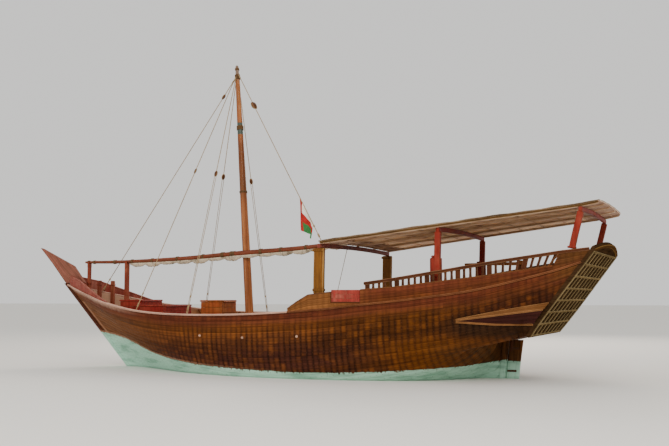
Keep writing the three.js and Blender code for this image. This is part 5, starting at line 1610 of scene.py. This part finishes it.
def boxForms(aft, fore, half, rim):
    # Boards all round, butted at the corners, posts inside the corners and a floor
    wall, seam, corner = boxWork["wall"], boxWork["seam"], boxWork["corner"]
    low = min(deckTop(aft), deckTop(fore)) - .02
    count = max(2, round((rim - low) / boxWork["board"]))
    rise = (rim - low) / count
    forms = []
    for k in range(count):
        z = low + rise * (k + .5)
        tone = rng.random()
        for y in (-half + wall / 2, half - wall / 2):
            forms.append(beam((aft, y, z), (fore, y, z), 3, wall, rise - seam, chamfer=.005, tone=tone))
        for x in (aft + wall / 2, fore - wall / 2):
            ends = (x, -half + wall, z), (x, half - wall, z)
            forms.append(beam(*ends, 3, wall, rise - seam, (1, 0, 0), .005, tone=1 - tone))
    for x in (aft + .03, fore - .03):
        for y in (-half + .03, half - .03):
            forms.append(beam((x, y, low), (x, y, rim - .002), 3, corner, corner, (1, 0, 0), .008))
    z = max(deckTop(aft), deckTop(fore)) + .01
    ends = (aft + wall, 0, z), (fore - wall, 0, z)
    forms.append(beam(*ends, 2, 2 * half - .06, boxWork["floor"], chamfer=.004))
    return forms


def lidForms(aft, fore, half, rim, lid):
    # Planks across, three battens over them, and the pin that they turn on
    axisX, axisZ, over = aft - boxWork["pinAft"], rim + .0003, half + boxWork["over"]
    start = axisX + boxWork["pinClear"]
    wide = (fore + boxWork["over"] - start) / boxWork["planks"]
    forms = []
    for k in range(boxWork["planks"]):
        x, z = start + wide * (k + .5), axisZ + lid * .42
        ends = (x, -over, z), (x, over, z)
        forms.append(beam(*ends, 4, wide - boxWork["seam"], lid * .8, (1, 0, 0), .005))
    for y in (-over + boxWork["battenIn"], 0, over - boxWork["battenIn"]):
        z = rim + lid * .88
        ends = (axisX + .02, y, z), (fore + .02, y, z)
        forms.append(beam(*ends, 3, boxWork["batten"], lid * .22, chamfer=.003))
    pin = straight((axisX, -half * .8, axisZ), (axisX, half * .8, axisZ), 9)
    return [*forms, tube(pin, boxWork["pin"], 12)]


def addBoxes():
    for name, aft, fore, half, top, lid, paint, body in boxes:
        box, cover = boxForms(aft, fore, half, top - lid), lidForms(aft, fore, half, top - lid, lid)
        addPiece(name + "_boards", box, paint, name)
        addPiece(name + "_lid_boards", cover, paint, name + "_lid", body)


# Rigging

stays = [        # node, foot x, foot y, block's share, block's size
    ("forestay", 7.3, -.33, .09, .09), ("shroud_port_fore", 4.45, 1.93, .42, .09),
    ("shroud_starboard_fore", 4.45, -1.93, .42, .09), ("shroud_port_aft", 2.48, 2.4, .44, .09),
    ("shroud_starboard_aft", 2.48, -2.4, .44, .09),
]
backstay = {"foot": (-1.56, 2.545), "block": .22, "size": .15, "headZ": 8.78}
flag = {
    "high": .77, "low": .92, "drop": .893, "lowDrop": .376, "fly": .171, "cloth": .003, "flat": (.66, 1.04),
}
rope = {
    "radius": .011, "headZ": 8.69, "step": .025, "length": .028, "strop": .008, "parted": .3,
    "seizings": [          # the end it is near, distance along from it, radius, thickness, turns
        ("foot", -.16, .012, .007, 7), ("head", .2, .009, .006, 6), ("foot", -.5, .012, .006, 4),
    ],
}


def squareTo(along):
    # A level direction square to a slanting one
    side = np.cross(along, (0, 0, 1))
    return side / np.linalg.norm(side)


def blockForm(centre, along, size):
    # A block's shell: a flattened egg, its breadth the root of what is left of the half-length
    # squared, with a strop of rope round it lengthwise
    along = along / np.linalg.norm(along)
    side = squareTo(along)
    t = np.linspace(-1, 1, 15)
    path = centre + along * (t * size * .96)[:, None]
    wide = np.sqrt(np.maximum(.02, 1 - t ** 2)) ** .8
    shell = bar(path, size * .98 * wide, size * .62 * wide, side, size * .1)
    angle = np.linspace(0, math.tau, 26)[:, None]
    loop = centre + np.cos(angle) * along * size + np.sin(angle) * side * size * .56
    return shell, tube(loop, rope["strop"], 7, reference=np.cross(along, side))


def stayHead(z, foot):
    # Just inside the mast's surface, on the side that the stay comes from
    t = mastShare(z)
    centre = mastAt(t)
    away = np.array((foot[0] - centre[0], foot[1], 0))
    return centre + away / np.linalg.norm(away) * mastRadius(t) * .6


def laidRope(head, foot, radius):
    return tube(straight(head, foot, int(np.linalg.norm(foot - head) / rope["length"])), radius, 9, 3)


def addStay(node, head, foot, share, size):
    # One line to the block, and a two-part purchase from a low block down to a lashing at the foot
    along, ends = foot - head, {"head": head, "foot": foot}
    unit, side = along / np.linalg.norm(along), squareTo(along)
    middle = head + along * share
    shell, strop = blockForm(middle, along, size)
    ropes = [laidRope(head, middle, rope["radius"]), strop]
    if share > rope["parted"]:
        for s in (-1, 1):
            start, end = middle + side * s * size * .3, foot + side * s * .018
            ropes.append(laidRope(start, end, rope["radius"] * .75))
    else:
        ropes.append(laidRope(middle, foot, rope["radius"]))
    for end, by, radius, thick, turns in rope["seizings"]:
        ropes.append(ropeTurns(ends[end] + unit * by, along, radius, thick, turns))
    addPiece(node + "_rope", ropes, "rope", node)
    addPiece(node + "_block", shell, "block", ())


def addRigging():
    for i, (node, x, y, share, size) in enumerate(stays):
        foot = np.array((x, y, skin(atSheer(x), 2)[2] + .001))
        addStay(node, stayHead(rope["headZ"] + rope["step"] * i, foot), foot, share, size)
    foot = acrossRoof(*backstay["foot"], -canopy["depth"])
    head = stayHead(backstay["headZ"], foot)
    addStay("backstay", head, foot, backstay["block"], backstay["size"])
    return head, foot


def addFlag(head, foot):
    # Cloth bent to the stay: u runs down the stay, v hangs from it; the folds are waves across the
    # cloth that grow with the hang and gather it
    along = foot - head
    ahead = along * (1, 1, 0) / math.hypot(*along[:2])
    square = np.array((-ahead[1], ahead[0], 0))
    u, v = np.linspace(0, 1, 46)[:, None, None], np.linspace(0, 1, 40)[:, None]
    hold = head + along * (flag["high"] + (flag["low"] - flag["high"]) * u)
    drop = (flag["drop"] + (flag["lowDrop"] - flag["drop"]) * u) * v
    fold = (.07 * np.sin(u * 7 + v * 1.6 + 2.6) + .012 * np.sin(u * 23 - v * 4)) * v ** .6
    blown = flag["fly"] * (1 - u) * v
    middle = hold + blown * ahead + fold * square - drop * (0, 0, 1)
    places = stacked(u[..., 0] * flag["flat"][1], v[:, 0] * flag["flat"][0])
    form, area = clothForm(middle, flag["cloth"], places)
    piece = addPiece("flag_cloth", form, "flag", "flag", crease=60)
    print("Flag cloth", round(area, 3), "square metres")


# Steering

rudder = {
    "axis": (-5.765, -.12), "lead": .05, "half": .04, "paint": .45, "stock": .055, "stockFoot": .7,
    "stockTop": 3.06, "nose": (.025, .0395), "straps": (.78, .2, -.5, -1.1), "strap": (.008, .055),
    "outline": [(-6.17, 1), (-6.085, .41), (-6.04, 0), (-6.33, -.5), (-6.42, -1.1), (-6.33, -1.38)],
}
tiller = {"top": 3.02, "length": 1.5, "width": .07, "depth": .09, "head": .18}


def onAxis(z, ahead=0):
    # A point off the line that the rudder turns on, that far ahead of it
    return stacked(rudder["axis"][0] + rudder["axis"][1] * z + ahead, 0, z)


def addSteering():
    half, slope = rudder["half"], rudder["axis"][1]
    lead = [tuple(onAxis(z, rudder["lead"])[::2]) for z in (-1.38, 1)]
    blade = plate(lead + rudder["outline"], -half, half, (slope, 1), .014, .5)
    blade.places = [some * (1, strakes["toMetre"]) + (0, rows["rudder"]) for some in blade.places]
    ahead, radius = rudder["nose"]
    nose = tube(onAxis(np.linspace(-1.36, .98, 12), ahead), radius, 20, reference=(1, 0, 0))
    for form in (blade, nose):
        z = form.points[:, 2]
        form.marks = {"line": z - rudder["paint"], "under": 2 - z}
    addPiece("rudder_blade", [blade, nose], "hull", "rudder", "steering")
    post = onAxis(np.linspace(-1.19, 1.02, 12), .0825)
    facing = stemMarks(bar(post, .025, .14, (1, 0, 0), .005))
    addPiece("stern_facing", facing, "hull", ())
    stock = onAxis(np.linspace(rudder["stockFoot"], rudder["stockTop"], 30))
    stock = tube(stock, rudder["stock"] * .995, 24, tone=.2, reference=(1, 0, 0))
    addPiece("rudder_stock", stock, "band", "tiller", "steering")

    top, deep, head = tiller["top"], tiller["depth"], tiller["head"]
    x, y, z = onAxis(top - deep / 2)
    taper = np.linspace(1, .62, 12)
    path = straight((x + .05, 0, z), (x + tiller["length"], 0, z), 12)
    forms = [bar(path, tiller["width"] * taper, deep * taper, chamfer=.014)]
    forms.append(beam((x, 0, top - deep), (x, 0, top + .02), 3, head, head, (1, 0, 0), .018))
    addPiece("tiller_bar", forms, "tiller", "tiller", "steering")
    straps = []
    for z in rudder["straps"]:
        aft = np.interp(z, *np.array(sorted((high, x) for x, high in rudder["outline"])).T)
        axisX = onAxis(z)[0]
        for y in (-half - .003, half + .003):
            ends = (axisX + .045, y, z), (aft * .72 + axisX * .28, y, z)
            straps.append(beam(*ends, 4, *rudder["strap"], chamfer=.002))
    addPiece("rudder_straps", straps, "iron", (), "steering")


# Small things that stay on the boat

mooring = {"x": 6.9, "y": .34, "size": .11, "top": 2.62, "collar": .03}
lanyard = {"head": (-1.47, .2), "foot": (-1.05, .78), "rope": .008, "ring": .035}


def addMooringPost(name, side):
    x, y, size, top, collar = mooring.values()
    forms = [beam((x, y, deckAt(x) + .02), (x, y, top), 8, size, size, chamfer=.014)]
    ends = (x, y, top - .15), (x, y, top - .11)
    forms.append(beam(*ends, 2, size + collar, size + collar, chamfer=.01))
    replaced = "mooring_post_" + name
    addPiece("mooring_timber_" + name, forms, "russet", replaced, side=side)


def addLanyard():
    # A thin line made fast to the canopy's front beam and led down to a ring on the deck
    x, across = lanyard["head"]
    head = onRoof(x, across, canopy["beamTop"] + .03)
    x, y = lanyard["foot"]
    foot = np.array((x, y, deckTop(x) + lanyard["ring"]))
    unit = (head - foot) / np.linalg.norm(head - foot)
    ropes = [tube(straight(head, foot, 90), lanyard["rope"], 9, 3)]
    for centre, turns in ((head - unit * .05, 5), (foot + unit * .12, 7)):
        ropes.append(ropeTurns(centre, unit, .008, .006, turns))
    addPiece("canopy_lanyard", ropes, "rope", ())
    angle = np.linspace(0, math.tau, 22)
    ring = foot + stacked(np.cos(angle), 0, np.sin(angle)) * lanyard["ring"]
    addPiece("deck_ring", tube(ring, lanyard["rope"], 8, reference=(0, 1, 0)), "iron", ())


scuppers = {"places": ((2.05, 1.08), (.68, 1.05), (-.92, 1.11)), "radius": .028}    # x, height


def addScuppers():
    forms = []
    for x, z in scuppers["places"]:
        y = float(halfBreadth(np.array(x), np.array(z)))
        for s in (-1, 1):
            pipe = straight((x, s * (y - .03), z), (x, s * (y + .022), z - .006), 4)
            forms.append(tube(pipe, np.array([1, 1, 1.25, 1.2]) * scuppers["radius"], 14))
    addPiece("scupper_pipes", forms, "pale", ())


addHull()
addNails()
addRibs()
addBackbone()
print("Hull planked")
for sideName, sideSign in sides.items():
    addRails(sideName, sideSign)
    addQuarter(sideName, sideSign)
    addBalustrade(sideName, sideSign)
    addBowBoard(sideName, sideSign)
    addMoulding(sideName, sideSign)
    addMooringPost(sideName, sideSign)
addGate()
addTransom()
addLattice()
addScuppers()
print("Rails, quarters and transom fitted")
poopAt = float(atSheer(poop["fore"]))
addDeck("main_deck_boards", poopAt, deck["fore"], deck["depth"], "main_deck")
addDeck("poop_deck_boards", deck["aft"], poopAt, poop["rise"], "poop_deck")
addBoxes()
print("Decks laid")
addMast()
addPartners()
addYard()
addParrel()
addSail()
addCrutches()
addMatting()
addFrame()
addEdgePoles()
addPosts()
print("Mast, yard and canopy up")
stayTop, stayFoot = addRigging()
addFlag(stayTop, stayFoot)
addLanyard()
addSteering()
print("Rigged")

# Floor at the waterline, and plain soft light


def addStage():
    size = 240
    corners = [(-size, -size, 0), (size, -size, 0), (size, size, 0), (-size, size, 0)]
    mesh = bpy.data.meshes.new("floor")
    mesh.from_pydata(corners, [], [(0, 1, 2, 3)])
    floor = bpy.data.objects.new("floor", mesh)
    bpy.context.scene.collection.objects.link(floor)
    paint = Paint("pale floor")
    mesh.materials.append(paint.finish(0xe8e5df, .8))
    lamps = [        # name, place, size, power, colour
        ("key", (-14, 24, 17), 12, 4200, (1, .95, .88)),
        ("fill", (16, 26, 9), 14, 1800, (.95, .97, 1)),
        ("rim", (2, -22, 16), 14, 3600, (1, .9, .8)),
    ]
    for name, place, size, power, colour in lamps:
        data = bpy.data.lights.new(name, "AREA")
        data.size, data.energy, data.color = size, power, colour
        lamp = bpy.data.objects.new(name, data)
        bpy.context.scene.collection.objects.link(lamp)
        lamp.location = place
        lamp.rotation_euler = (Vector((0, 0, 2)) - lamp.location).to_track_quat("-Z", "Y").to_euler()
    world = bpy.data.worlds.new("studio")
    bpy.context.scene.world = world
    world.use_nodes = True
    world.node_tree.nodes["Background"].inputs["Color"].default_value = (.93, .92, .9, 1)
    world.node_tree.nodes["Background"].inputs["Strength"].default_value = 1


addStage()
print("Stage lit")
